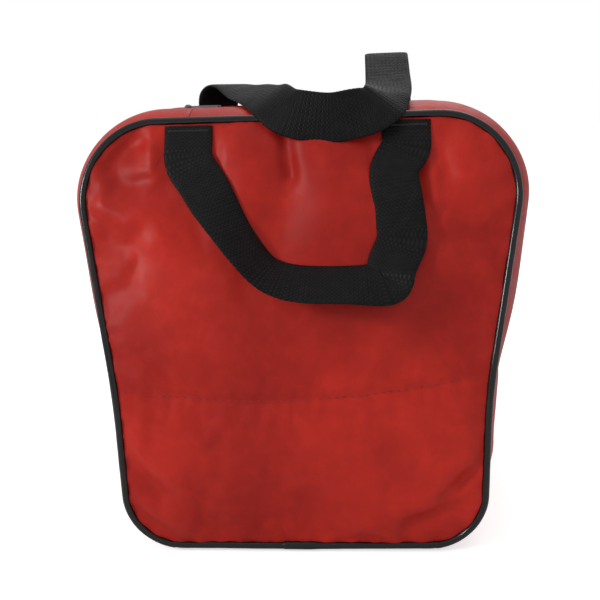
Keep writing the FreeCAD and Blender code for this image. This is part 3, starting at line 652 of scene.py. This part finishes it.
def vinyl(name):
    """Glossy black vinyl, slightly uneven, with dull scuffs here and there."""
    finish = Finish(name, {"Specular IOR Level": 0.30, "Coat Roughness": 0.10})
    wave = finish.noise(190.0, 2.0, 0.5)
    scuff = finish.noise(34.0, 5.0, 0.65).between(0.50, 0.72)
    tone = finish.tint(scuff, (0.0028, 0.0028, 0.0034, 1.0), (0.0095, 0.0090, 0.0090, 1.0))
    return finish.shade({"Base Color": tone, "Roughness": 0.26 + scuff * 0.22,
                         "Coat Weight": 0.30 - scuff * 0.25, "Normal": finish.bump(wave, 0.0006, 0.30)})


black_vinyl = vinyl("black vinyl")
outline = rounded_outline(760)
station = np.arange(len(outline)) / len(outline) * math.tau
uneven = 1.0 + 0.012 * np.sin(station * 23.0) + 0.008 * np.sin(station * 61.0 + 1.0)
low = outline[:, 1] < foot_height + 0.5
ends_meet = ease(overlap_from, overlap_from + 1.4, outline[:, 0])
ends_meet = ends_meet * ease(overlap_to, overlap_to - 10.0, outline[:, 0])
overlap = np.where(low, ends_meet, 0.0)
lifted = np.where(low, 0.25 * (1.0 - np.cos(outline[:, 0] / base_flat_half * math.pi)), 0.0)
for side, place in faces:
    line = np.stack([outline[:, 0], side * seam_depth(outline[:, 1]), outline[:, 1]], axis=1)
    line[:, 2] += overlap_lift * overlap + lifted
    bead = piece(place + "_piping_bead", tube_round(line, piping_radius * uneven + overlap_bulge * overlap),
                 black_vinyl, round_across=True, round_along=True, middle=None)
    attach(bead, "root")
    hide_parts(place + "_piping")


# ---------------------------------------------------------------------------------------------
# Seam bindings. Black tape folded over the raw edges inside each piped seam.

binding_width, binding_cloth, seam_inset = 9.0, 1.5, 2.6


def tape_finish(name, deep, bright):
    """Woven tape: ribs across it and a soft, dull surface."""
    finish = Finish(name, {"Specular IOR Level": 0.3, "Sheen Weight": 0.2})
    across, along = finish.across_and_along()
    rib = (along * (math.tau / 0.0011)).sine() * 0.5 + 0.5
    wear = finish.noise(80.0, 3.0, 0.6)
    return finish.shade({"Base Color": finish.tint(rib * 0.5 + wear * 0.4, deep, bright),
                         "Roughness": 0.68 + wear * 0.15, "Normal": finish.bump(rib, 0.00012, 0.6)})


black_tape = tape_finish("black seam tape", (0.008, 0.008, 0.009, 1.0), (0.030, 0.030, 0.032, 1.0))
loop = rounded_outline(360)
ahead = ring_ahead(loop)
inward = np.stack([-ahead[:, 1], ahead[:, 0]], axis=1)
inset = np.linspace(seam_inset, seam_inset + binding_width, 9)
for side, place in faces:
    spread = loop[:, None, :] + inward[:, None, :] * inset[None, :, None]
    depth = panel_depth(spread[..., 0], spread[..., 1], side) - cloth - 1.0
    grid = np.stack([spread[..., 0], side * depth, spread[..., 1]], axis=-1)
    tape = piece(place + "_seam_binding_tape", grid, black_tape, round_along=True, thick=binding_cloth)
    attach(tape, "root")
    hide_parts(place + "_seam_binding")


# ---------------------------------------------------------------------------------------------
# Foam pads and their linings. A sheet of grey foam stands behind the lower half of each panel, in
# a pocket of thin red lining that is sewn in with the waist seam.

pad_foam, lining_cloth, pad_margin, pocket_margin = 6.0, 0.8, 14.0, 2.0


def foam_finish(name):
    """Closed-cell foam: dull grey with fine pores and a few larger ones."""
    finish = Finish(name, {"Specular IOR Level": 0.25, "Roughness": 0.88})
    pores = finish.noise(900.0, 2.0, 0.6).between(0.35, 0.6)
    mottle = finish.noise(40.0, 3.0, 0.5)
    tone = finish.tint(pores * 0.7 + mottle * 0.3, (0.07, 0.07, 0.075, 1.0), (0.17, 0.17, 0.175, 1.0))
    return finish.shade({"Base Color": tone, "Normal": finish.bump(pores, 0.0003, 0.7)})


def slab(half_x, half_y, low, high, corner, edge, columns=96, rows=14):
    """A cushion-edged sheet: rings of a rounded rectangle, stacked from the middle of the bottom
    out over the rounded edge to the middle of the top. A ring's corners are arcs of the corner radius."""
    turn = np.linspace(0.0, math.tau, columns, endpoint=False)
    c, s = np.cos(turn), np.sin(turn)
    ring_x = np.sign(c) * (np.clip(np.abs(c) * 1.45, 0, 1) * (half_x - corner)) + c * corner
    ring_y = np.sign(s) * (np.clip(np.abs(s) * 1.45, 0, 1) * (half_y - corner)) + s * corner
    arc = np.linspace(-math.pi / 2.0, math.pi / 2.0, rows)
    inner = np.array([-0.96 * half_y, -0.5 * half_y])
    drawn = np.concatenate([inner, edge * (np.cos(arc) - 1.0), inner[::-1]])[:, None]
    swell = (low + high) / 2.0 + (high - low) / 2.0 * np.sin(arc)
    level = np.concatenate([[low, low], swell, [high, high]])[:, None]
    scale_y = 1.0 + drawn / half_y
    scale_x = np.where(drawn < -0.4 * half_y, scale_y, 1.0 + drawn / half_x)
    return np.stack([ring_x * scale_x, ring_y * scale_y, np.repeat(level, columns, axis=1)], axis=-1)


grey_foam = foam_finish("grey foam")
lining_red = coated_cloth("thin red lining", (0.26, 0.010, 0.008, 1.0), (0.38, 0.016, 0.012, 1.0))
pad_half = base_half_width - pad_margin
pad_low, pad_high = foot_height + pad_margin, waist_height - pad_foam / 2.0
for side, place in faces:
    flat = slab(pad_half, (pad_high - pad_low) / 2.0, 0.0, pad_foam - 0.2, 20.0, 2.4)
    x, z, inside = flat[..., 0], flat[..., 1] + (pad_low + pad_high) / 2.0, flat[..., 2]
    depth = panel_depth(x, z, side) - cloth - 1.3 - inside * 0.85
    pad = tubes(place + "_foam_cushion", np.stack([x, side * depth, z], axis=-1), grey_foam)
    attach(pad, "root")
    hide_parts(place + "_foam_pad")
    pocket_half, pocket_low = pad_half + pocket_margin, pad_low - pocket_margin
    x = np.linspace(-pocket_half, pocket_half, 81)[None, :]
    z = np.linspace(pocket_low, waist_height, 41)[:, None]
    depth = panel_depth(x, z, side) - cloth - pad_foam * 1.10 + 0.3 * np.sin(x * 0.09) * np.sin(z * 0.11)
    to_side = (1.0 - np.abs(x) / pocket_half) * pad_half
    closing = np.minimum(to_side, np.minimum(z - pocket_low, waist_height - z))
    depth = depth + (pad_foam - lining_cloth - 0.4) * (1.0 - ease(0.0, 5.0, closing))
    grid = np.stack(np.broadcast_arrays(x, side * depth, z), axis=-1)
    lining = piece(place + "_pocket_lining_cloth", grid, lining_red, thick=lining_cloth)
    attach(lining, "root")
    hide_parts(place + "_pocket_lining")


# ---------------------------------------------------------------------------------------------
# Base stack. A stiff board, a foam sheet over it and a foam ring that the ball sits in.

board_half_x, board_half_y = base_flat_half - 1.0, base_half_depth * base_flat_share
board_low, board_high, board_corner, foam_high, cup_high = 1.2, 4.2, 19.0, 12.2, 34.2
cup_outer, cup_hole, ball_seat, cup_base_gap = 78.0, 40.0, 109.5, 1.5


def board_finish(name):
    """Black polypropylene sheet with a fine moulded grain and long faint scratches."""
    finish = Finish(name, {"Specular IOR Level": 0.45})
    grain = finish.noise(700.0, 2.0, 0.5)
    marks = finish.noise(55.0, 5.0, 0.7).between(0.5, 0.75)
    tone = finish.tint(marks, (0.012, 0.012, 0.013, 1.0), (0.040, 0.040, 0.041, 1.0))
    return finish.shade({"Base Color": tone, "Roughness": 0.48 + marks * 0.2,
                         "Normal": finish.bump(grain, 0.0002, 0.5)})


board = tubes("stiffener_board", slab(board_half_x, board_half_y, board_low + 0.1, board_high,
                                      board_corner, 0.8), board_finish("black board"))
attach(board, "root")
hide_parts("base_board")
sheet_foam = tubes("base_foam_cushion", slab(board_half_x, board_half_y, board_high, foam_high,
                                             board_corner, 2.6), grey_foam)
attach(sheet_foam, "root")
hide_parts("base_foam")

ball_middle = foam_high + cup_base_gap + ball_seat
seat_r = np.linspace(cup_hole, cup_outer - 4.0, 22)
seat_z = np.minimum(ball_middle - np.sqrt(ball_seat ** 2 - seat_r ** 2), cup_high)
outside = [[cup_outer - 1.2, cup_high - 0.4], [cup_outer, cup_high - 2.0],
           [cup_outer, (cup_high + foam_high) / 2.0], [cup_outer, foam_high + 1.5],
           [cup_outer - 1.2, foam_high + 0.1], [60.0, foam_high], [cup_hole + 1.0, foam_high + 0.1]]
profile = np.concatenate([np.stack([seat_r, seat_z], axis=1), outside])
turn = np.linspace(0.0, math.tau, 128, endpoint=False)[:, None]
ring = np.stack([profile[None, :, 0] * np.cos(turn), profile[None, :, 0] * np.sin(turn),
                 np.repeat(profile[None, :, 1], len(turn), axis=0)], axis=-1)
cup = piece("ball_cup_ring", ring, grey_foam, round_across=True, round_along=True, middle=None)
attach(cup, "root")
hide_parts("ball_cup")


# ---------------------------------------------------------------------------------------------
# Zip. Two black woven tapes with moulded teeth run over the top and down both sides, under the
# edges of the bands. Metal stops close both ends, over small tabs of red cloth.

tape_thick, tape_inner, tape_outer = 0.6, 1.4, 14.0
tooth_pitch, tooth_along, tooth_tip, tooth_root, tooth_high = 4.0, 2.2, -0.55, 3.2, 2.2
tab_length, tape_below = 12.0, cloth + tape_thick / 2.0
zip_level = body_height + float(gusset_swell(body_height, slot_edge)) - tape_below
topstitch_pitch, topstitch_length, topstitch_inset, topstitch_lift = 3.6, 2.6, 2.2, 0.12


def tooth():
    """One moulded tooth pointing along its second axis: rings of a rounded square that narrow to a neck
    and swell again to a head."""
    reach = np.array([0.0, 0.06, 0.3, 0.55, 0.72, 0.92, 1.0])
    wide = np.array([0.75, 1.0, 1.0, 0.62, 0.86, 0.74, 0.45])
    high = np.array([0.8, 1.0, 1.0, 0.84, 0.86, 0.72, 0.4])
    turn = np.linspace(0.0, math.tau, 10, endpoint=False)[None, :]
    c, s = np.cos(turn), np.sin(turn)
    x = np.sign(c) * np.abs(c) ** 0.5 * (tooth_along / 2.0) * wide[:, None]
    z = np.sign(s) * np.abs(s) ** 0.5 * (tooth_high / 2.0) * high[:, None]
    y = (tooth_root + (tooth_tip - tooth_root) * reach)[:, None] * np.ones_like(x)
    return np.stack([x, y, z], axis=-1)


def moulded(name, deep, bright):
    """Moulded black plastic: satin, with a faint flow mottle."""
    finish = Finish(name, {"Specular IOR Level": 0.5})
    mottle = finish.noise(260.0, 3.0, 0.6)
    return finish.shade({"Base Color": finish.tint(mottle, deep, bright),
                         "Roughness": 0.30 + mottle * 0.15, "Normal": finish.bump(mottle, 0.0001, 0.4)})


def row_of_teeth(line, outward, side, count, first):
    """Teeth at even distances along a line, their heads towards the other row."""
    reach = reach_of(line)
    places = first + np.arange(count) * tooth_pitch
    centre, ahead = along_line(places, reach, line), along_line(places + 0.3, reach, line)
    shape = tooth()
    grids = set_out(shape, np.zeros((count, 3)), ahead - centre, along_line(places, reach, outward))
    grids[..., 1] = shape[None, :, :, 1] * side
    return grids + centre[:, None, None, :]


zip_black = moulded("black zip teeth", (0.010, 0.010, 0.011, 1.0), (0.022, 0.022, 0.024, 1.0))
zip_tape = tape_finish("black zip tape", (0.006, 0.006, 0.007, 1.0), (0.022, 0.022, 0.024, 1.0))
flap_count = int(2.0 * (flap_half_length - tooth_along) / tooth_pitch)
for side, place in faces:
    x = np.linspace(-flap_half_length, flap_half_length, 120)[:, None]
    y = side * np.linspace(tape_inner, tape_outer, 9)[None, :]
    strip = np.stack(np.broadcast_arrays(x, y, np.full((1, 1), zip_level + tape_thick / 2.0)), axis=-1)
    tape = piece(place + "_flap_zip_tape", strip, zip_tape, thick=tape_thick)
    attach(tape, place + "_top_flap")
    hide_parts(place + "_zip_tape")
    line = np.array([[-flap_half_length, 0.0, zip_level], [flap_half_length, 0.0, zip_level]])
    upright_pair = np.tile([0.0, 0.0, 1.0], (2, 1))
    start = flap_half_length - (flap_count - 1) / 2.0 * tooth_pitch + 0.25 * tooth_pitch * side
    teeth = tubes(place + "_flap_zip_teeth",
                  row_of_teeth(line, upright_pair, side, flap_count, start), zip_black)
    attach(teeth, place + "_top_flap")
    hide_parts(place + "_zip_teeth")

end_points, end_out = band_points[::-1], band_out[::-1]


def zip_end_line():
    """Middle line of the right end of the zip, from the flap round the corner and down the side."""
    z = end_points[:, 1]
    move = gusset_swell(z, zip_slot / seam_depth(z)) - tape_below
    x = end_points[:, 0] + end_out[:, 0] * move
    return np.stack([x, np.zeros_like(x), z + end_out[:, 1] * move], axis=1)


end_line = zip_end_line()
end_normal = np.stack([end_out[:, 0], np.zeros(len(end_out)), end_out[:, 1]], axis=1)
end_count = int((reach_of(end_line)[-1] - tab_length - tooth_along) / tooth_pitch)
for mirror, hand in hands:
    strips, tooth_rows = [], []
    for side in (-1, 1):
        y = side * np.linspace(tape_inner, tape_outer, 9)[None, :, None] * np.array([0.0, 1.0, 0.0])
        strip = (end_line + end_normal * tape_thick / 2.0)[:, None, :] + y
        strips.append(strip if side > 0 else strip[:, ::-1])
        start = tooth_along + 0.25 * tooth_pitch * (1 + side)
        tooth_rows.append(row_of_teeth(end_line, end_normal, side, end_count, start))
    tape = piece(hand + "_end_zip_tape", sided(np.stack(strips), mirror), zip_tape, thick=tape_thick)
    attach(tape, "root")
    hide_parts(hand + "_zip_end_tape")
    teeth = tubes(hand + "_end_zip_teeth", sided(np.concatenate(tooth_rows), mirror), zip_black)
    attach(teeth, "root")
    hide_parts(hand + "_zip_end_teeth")


def metal(name):
    """Black enamelled zinc, worn to bare metal on its edges and knocked places."""
    finish = Finish(name, {"Specular IOR Level": 0.5})
    edge = finish.node("ShaderNodeNewGeometry", {}, {}, "Pointiness").between(0.52, 0.60)
    chip = finish.noise(420.0, 4.0, 0.65).between(0.60, 0.68)
    worn = finish.node("ShaderNodeMath", {"operation": "MINIMUM", "use_clamp": True},
                       {0: edge * 0.6 + chip, 1: 1.0})
    tone = finish.tint(worn, (0.012, 0.012, 0.013, 1.0), (0.42, 0.41, 0.40, 1.0))
    return finish.shade({"Base Color": tone, "Metallic": worn * 0.9, "Roughness": 0.28 + worn * 0.12})


black_metal = metal("black enamelled zinc")
for node, finish in (("zip_slider", black_metal), ("zip_pull", black_metal),
                     ("zip_end_stops", black_metal), ("zip_end_tabs", lining_red)):
    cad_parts[node].data.materials.clear()
    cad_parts[node].data.materials.append(finish.material)

for side, place in faces:
    share = np.array([side * (zip_slot + topstitch_inset) / top_half_depth])
    edge = gusset_surface(top_points, top_out, share)[:, 0, :] + np.array([0.0, 0.0, topstitch_lift])
    edge = along_line(np.linspace(0, len(edge) - 1, 400), np.arange(len(edge)), edge)
    row = stitch_row(edge, np.tile([0.0, 0.0, 1.0], (len(edge), 1)), topstitch_pitch, topstitch_length)
    stitches = tubes(place + "_flap_topstitch", row, red_thread)
    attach(stitches, place + "_top_flap")
    share = side * (zip_slot + topstitch_inset) / seam_depth(band_points[:, 1])
    each = np.arange(len(share))
    line = gusset_surface(band_points, band_out, share)[each, each]
    normal = np.stack([band_out[:, 0], np.zeros(len(band_out)), band_out[:, 1]], axis=1)
    row = stitch_row(line + normal * topstitch_lift, normal, topstitch_pitch, topstitch_length)
    both_ends = np.concatenate([row, sided(row, True)[:, :, ::-1]])
    stitches = tubes(place + "_band_topstitch", both_ends, red_thread)
    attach(stitches, "root")


# ---------------------------------------------------------------------------------------------
# Carry loops. Two lengths of black polypropylene webbing, 32 mm wide, whose ends are sewn flat on
# the panels under the top piping. The front loop hangs down; the rear one lies over the top.

webbing_width, webbing_thick, fold_height = 32.0, 2.0, 271.0
fold_depth = float(seam_depth(fold_height) + crown(span, fold_height)) + webbing_thick + 1.8
rib_pitch, rib_high = 2.8, 0.20


def smooth_run(points, count):
    """Evenly divided natural cubic spline through points, over the distance between them."""
    points = np.asarray(points, float)
    place = reach_of(points[:, :3])
    gap = np.diff(place)
    size = len(points)
    matrix, right_side = np.eye(size), np.zeros_like(points)
    inner = np.arange(1, size - 1)
    matrix[inner, inner - 1], matrix[inner, inner + 1] = gap[:-1], gap[1:]
    matrix[inner, inner] = 2.0 * (gap[:-1] + gap[1:])
    slope = np.diff(points, axis=0) / gap[:, None]
    right_side[1:-1] = 6.0 * np.diff(slope, axis=0)
    bend = np.linalg.solve(matrix, right_side)
    at = np.linspace(0.0, place[-1], count)
    part = np.clip(np.searchsorted(place, at) - 1, 0, size - 2)
    width = gap[part][:, None]
    a, b = (place[part + 1] - at)[:, None] / width, (at - place[part])[:, None] / width
    value = a * points[part] + b * points[part + 1]
    return value + ((a ** 3 - a) * bend[part] + (b ** 3 - b) * bend[part + 1]) * width ** 2 / 6.0


def webbing(run, columns=15):
    """A flat strap along rows of (centre, width direction): rings whose top and bottom are nearly flat
    and meet in a rounded selvedge, with a rib for each weft thread."""
    centre, across = run[:, :3], run[:, 3:]
    ahead = unit(np.gradient(centre, axis=0))
    across = unit(across - ahead * (across * ahead).sum(axis=1, keepdims=True))
    proud = np.cross(ahead, across)
    turn = np.sin(np.linspace(-1.0, 1.0, columns) * math.pi / 2.0)
    half = np.sqrt(np.clip(1.0 - turn ** 8, 0.0, 1.0))
    wide = np.concatenate([turn, turn[-2:0:-1]])
    high = np.concatenate([half, -half[-2:0:-1]])
    rib = np.abs(np.cos(reach_of(centre) * math.pi / rib_pitch))
    thick = (webbing_thick / 2.0 - 0.06 + rib_high * rib)[:, None]
    selvedge = (webbing_width / 2.0 - 0.15 + 0.18 * rib)[:, None]
    aside = across[:, None, :] * (wide[None, :] * selvedge)[..., None]
    return centre[:, None, :] + aside + proud[:, None, :] * (high[None, :] * thick)[..., None]


def webbing_finish(name):
    """Black polypropylene webbing: beads of yarn set like bricks, glossy on top, with a painted highlight on
    each bead and painted shade between.
    """
    finish = Finish(name, {"Specular IOR Level": 0.15})
    across, along = finish.across_and_along()
    row_height = 0.0014
    row = (along / row_height).floor()
    bead = (across * (math.tau / (2.0 * row_height)) + row * math.pi).sine() * 0.5 + 0.5
    bead = bead * abs((along * (math.pi / row_height)).sine())
    fuzz = finish.noise(140.0, 4.0, 0.6).between(0.42, 0.68)
    # Painted highlight and shade: the tone is lighter on each bead top and darker between the beads, plus
    # random fuzz.
    tone = finish.tint(bead * 0.7 + fuzz * 0.3, (0.0014, 0.0014, 0.0018, 1.0), (0.0110, 0.0110, 0.0120, 1.0))
    return finish.shade({"Base Color": tone, "Roughness": 0.58 - bead * 0.16 + fuzz * 0.08,
                         "Normal": finish.bump(bead, 0.0003, 0.6)})


black_webbing = webbing_finish("black ribbed webbing")


def hanging(x, drop, stand_off, across):
    """A place in front of the front panel, a drop below the fold."""
    z = fold_height - drop
    return [x, -float(seam_depth(z) + crown(x, z)) - stand_off, z, *across]


def draped(x, y, rise, across):
    """A place above the top of the bag."""
    return [x, y, body_height + rise, *across]


left, right = -span, span
sewn_top = body_height - piping_radius - 1.0
front_run = [hanging(*row) for row in (
    (left, fold_height - sewn_top, 0.9, (1, 0, 0)), (left, -7.0, 1.1, (1, 0, 0)),
    (left, -1.0, 1.9, (1, 0, 0)), (left, 5.0, 2.9, (1, 0, 0)), (left + 2.5, 12.0, 5.0, (0.97, 0.1, 0.2)),
    (left + 8.5, 20.0, 7.5, (0.88, 0.3, 0.35)), (left + 17.5, 33.0, 11.5, (0.72, 0.55, 0.42)),
    (left + 28.5, 49.0, 14.5, (0.5, 0.78, 0.38)), (left + 41.5, 65.5, 16.0, (0.32, 0.85, 0.42)),
    (left + 53.0, 76.5, 16.0, (0.12, 0.86, 0.50)), (left + 65.0, 81.5, 15.5, (0.05, 0.84, 0.54)),
    (left + 87.0, 84.0, 15.0, (0.0, 0.83, 0.56)), (right - 34.0, 84.5, 15.0, (-0.04, 0.80, 0.60)),
    (right - 20.5, 84.8, 14.0, (-0.10, 0.70, 0.70)), (right - 14.5, 83.5, 13.0, (-0.18, 0.64, 0.74)),
    (right - 12.2, 77.0, 11.5, (-0.47, 0.56, 0.68)), (right - 9.0, 69.0, 9.5, (-0.78, 0.38, 0.48)),
    (right - 5.0, 60.5, 7.5, (-0.98, 0.10, 0.06)), (right - 4.9, 50.0, 6.0, (-1, 0.08, 0)),
    (right - 6.2, 39.0, 5.6, (-0.98, 0.16, 0.02)), (right - 8.4, 26.0, 5.6, (-0.96, 0.20, 0.05)),
    (right - 8.0, 16.0, 5.2, (-0.96, 0.18, 0.07)), (right - 3.8, 9.0, 4.0, (-0.98, 0.08, 0.05)),
    (right - 0.6, 4.0, 2.9, (-1, 0, 0)), (right, -1.0, 1.9, (-1, 0, 0)), (right, -7.0, 1.1, (-1, 0, 0)),
    (right, fold_height - sewn_top, 0.9, (-1, 0, 0)))]
front_loop = tubes("front_loop_webbing", webbing(smooth_run(front_run, 900)), black_webbing)
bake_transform(front_loop)
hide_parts("front_handle", "front_handle_left_end", "front_handle_right_end")

edge_y = top_half_depth
rise_root = fold_height - body_height + 1.3
rear_run = [draped(*row) for row in (
    (left, fold_depth, rise_root, (-1, 0, 0)), (left, edge_y + 8.5, -2.0, (-1, 0, 0)),
    (left + 1.5, edge_y + 2.5, 11.5, (-1, -0.1, 0)),
    (left + 8.5, edge_y - 11.0, 21.5, (-0.85, -0.5, 0.05)),
    (left + 23.0, edge_y - 36.0, 21.0, (-0.6, -0.78, -0.12)),
    (left + 38.0, -edge_y + 46.0, 17.0, (-0.42, -0.86, -0.28)),
    (left + 49.0, -edge_y + 19.5, 14.5, (-0.42, -0.82, -0.40)),
    (left + 57.0, -edge_y + 1.5, 10.5, (-0.33, -0.66, -0.67)),
    (left + 65.5, -edge_y - 6.5, 4.5, (-0.18, -0.35, -0.92)),
    (left + 79.0, -edge_y - 9.0, 1.0, (-0.05, -0.18, -1)),
    (left + 97.0, -edge_y - 9.5, -0.5, (0, -0.12, -1)),
    (right - 34.0, -edge_y - 8.5, 1.5, (0.10, -0.2, -0.97)),
    (right - 24.0, -edge_y - 7.5, 3.5, (0.20, -0.34, -0.92)),
    (right - 15.5, -edge_y - 3.5, 8.0, (0.34, -0.55, -0.76)),
    (right - 11.5, -edge_y + 10.0, 13.5, (0.55, -0.72, -0.42)),
    (right - 9.5, -edge_y + 28.0, 17.5, (0.78, -0.58, -0.24)),
    (right - 8.5, -edge_y + 50.0, 25.5, (0.93, -0.30, -0.20)),
    (right - 8.0, edge_y - 50.0, 34.5, (0.98, -0.12, -0.1)),
    (right - 7.5, edge_y - 32.0, 41.5, (1, 0, 0)), (right - 6.5, edge_y - 14.0, 39.0, (1, 0, 0)),
    (right - 4.5, edge_y - 1.0, 25.5, (1, 0, 0)), (right - 1.0, edge_y + 7.0, 4.0, (1, 0, 0)),
    (right, fold_depth, rise_root, (1, 0, 0)))]
rear_loop = tubes("rear_loop_webbing", webbing(smooth_run(rear_run, 1050)), black_webbing)
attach(rear_loop, "rear_handle")
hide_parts("rear_handle")

ends = []
for x in (left, right):
    places = [(float(seam_depth(z) + crown(x, z)) + 0.95, z) for z in (sewn_top, 280.0, 275.0)]
    places.append((fold_depth - 1.95, fold_height + 0.5))
    for a in (0.9, 1.57, 2.3):
        places.append((fold_depth - 1.0 - math.cos(a) * 1.25, fold_height + 0.3 - math.sin(a) * 1.7))
    places.append((fold_depth, fold_height + 1.2))
    ends.append(webbing(smooth_run([[x, y, z, 1.0, 0.0, 0.0] for y, z in places], 70)))
rear_ends = tubes("rear_loop_sewn_ends", np.stack(ends), black_webbing)
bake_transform(rear_ends)
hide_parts("rear_handle_left_end", "rear_handle_right_end")

black_thread = thread_finish("black thread", (0.006, 0.006, 0.006, 1.0), (0.035, 0.034, 0.033, 1.0))
bar_length, bar_width, bar_turns = 26.0, 1.5, 34
for side, place in faces:
    bars = []
    for x_middle in (left, right):
        for z in (fold_height + 3.0, sewn_top - 3.0):
            x = x_middle + np.linspace(-bar_length / 2.0, bar_length / 2.0, bar_turns)
            y = side * (seam_depth(z) + crown(x_middle, z) + webbing_thick + 0.12) * np.ones(bar_turns)
            places = np.stack([x, y, np.full(bar_turns, z)], axis=1)
            slant = np.tile([0.35, 0.0, 1.0], (bar_turns, 1))
            slant[::2, 0] = -0.35
            outward = np.tile([0.0, float(side), 0.0], (bar_turns, 1))
            bars.append(set_out(pill(bar_width, 0.24, 0.16), places, slant, outward))
    tacks = tubes(place + "_loop_bartacks", np.concatenate(bars), black_thread)
    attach(tacks, "root")
    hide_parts(place + "_handle_bartacks")


# ---------------------------------------------------------------------------------------------
# Room: a plain pale floor, large soft lamps and the camera.

def lamp(name, place, target, size, power):
    """A square soft lamp, turned towards a point."""
    light = bpy.data.lights.new(name, "AREA")
    light.size, light.energy = size, power
    made = bpy.data.objects.new(name, light)
    made.location = place
    made.rotation_mode = "QUATERNION"
    made.rotation_quaternion = (Vector(target) - Vector(place)).to_track_quat("-Z", "Y")
    bpy.context.scene.collection.objects.link(made)


lamp("key", (-0.98, -0.70, 0.72), (-0.05, 0.0, 0.17), 0.26, 6.6)
lamp("fill", (0.9, -1.3, 0.5), (0.0, 0.0, 0.12), 1.4, 0.8)
lamp("rim", (0.3, 1.2, 1.3), (0.0, 0.0, 0.15), 1.2, 5.0)
lamp("top", (0.0, -0.1, 1.7), (0.0, 0.0, 0.2), 1.2, 3.0)

paper = bpy.data.materials.new("white paper")
paper.use_nodes = True
nodes = paper.node_tree.nodes
nodes.remove(nodes["Principled BSDF"])
paper_shading = Shading(paper.node_tree)
matt = paper_shading.node("ShaderNodeBsdfDiffuse", {}, {"Color": (0.80, 0.80, 0.80, 1.0)})
seen = paper_shading.node("ShaderNodeLightPath", {}, {}, "Is Camera Ray")
glow = paper_shading.node("ShaderNodeEmission", {}, {"Color": (1.0, 1.0, 1.0, 1.0), "Strength": seen * 0.62})
both = paper_shading.node("ShaderNodeAddShader", {}, {0: matt, 1: glow})
paper_shading.feed(nodes["Material Output"], {"Surface": both})
floor_mesh = bpy.data.meshes.new("floor")
floor_mesh.from_pydata([(-6, -6, 0), (6, -6, 0), (6, 6, 0), (-6, 6, 0)], [], [(0, 1, 2, 3)])
floor = bpy.data.objects.new("floor", floor_mesh)
floor.location.z = -0.0003
floor.data.materials.append(paper)
bpy.context.scene.collection.objects.link(floor)

world = bpy.data.worlds.new("room")
world.use_nodes = True
sky = Shading(world.node_tree)
seen = sky.node("ShaderNodeLightPath", {}, {}, "Is Camera Ray")
sky.feed(world.node_tree.nodes["Background"], {"Color": (1.0, 1.0, 1.0, 1.0),
                                               "Strength": 0.585 + 0.415 * seen})
bpy.context.scene.world = world
bpy.context.scene.view_settings.view_transform = "Standard"

yaw, tilt, roll = math.radians(3.4), math.radians(15.2), math.radians(1.8)
level = np.array([math.cos(yaw), math.sin(yaw), 0.0])
forward = np.array([-math.sin(yaw) * math.cos(tilt), math.cos(yaw) * math.cos(tilt), -math.sin(tilt)])
upright = np.cross(level, forward)
right = level * math.cos(roll) - upright * math.sin(roll)
up = level * math.sin(roll) + upright * math.cos(roll)
camera_data = bpy.data.cameras.new("camera")
camera_data.lens, camera_data.sensor_width = 45.36, 36.0
camera = bpy.data.objects.new("camera", camera_data)
matrix = np.eye(4)
matrix[:3, 0], matrix[:3, 1], matrix[:3, 2] = right, up, -forward
matrix[:3, 3] = np.array([29.0, -571.0, 302.0]) * MM
camera.matrix_world = Matrix(matrix.tolist())
bpy.context.scene.collection.objects.link(camera)
bpy.context.scene.camera = camera
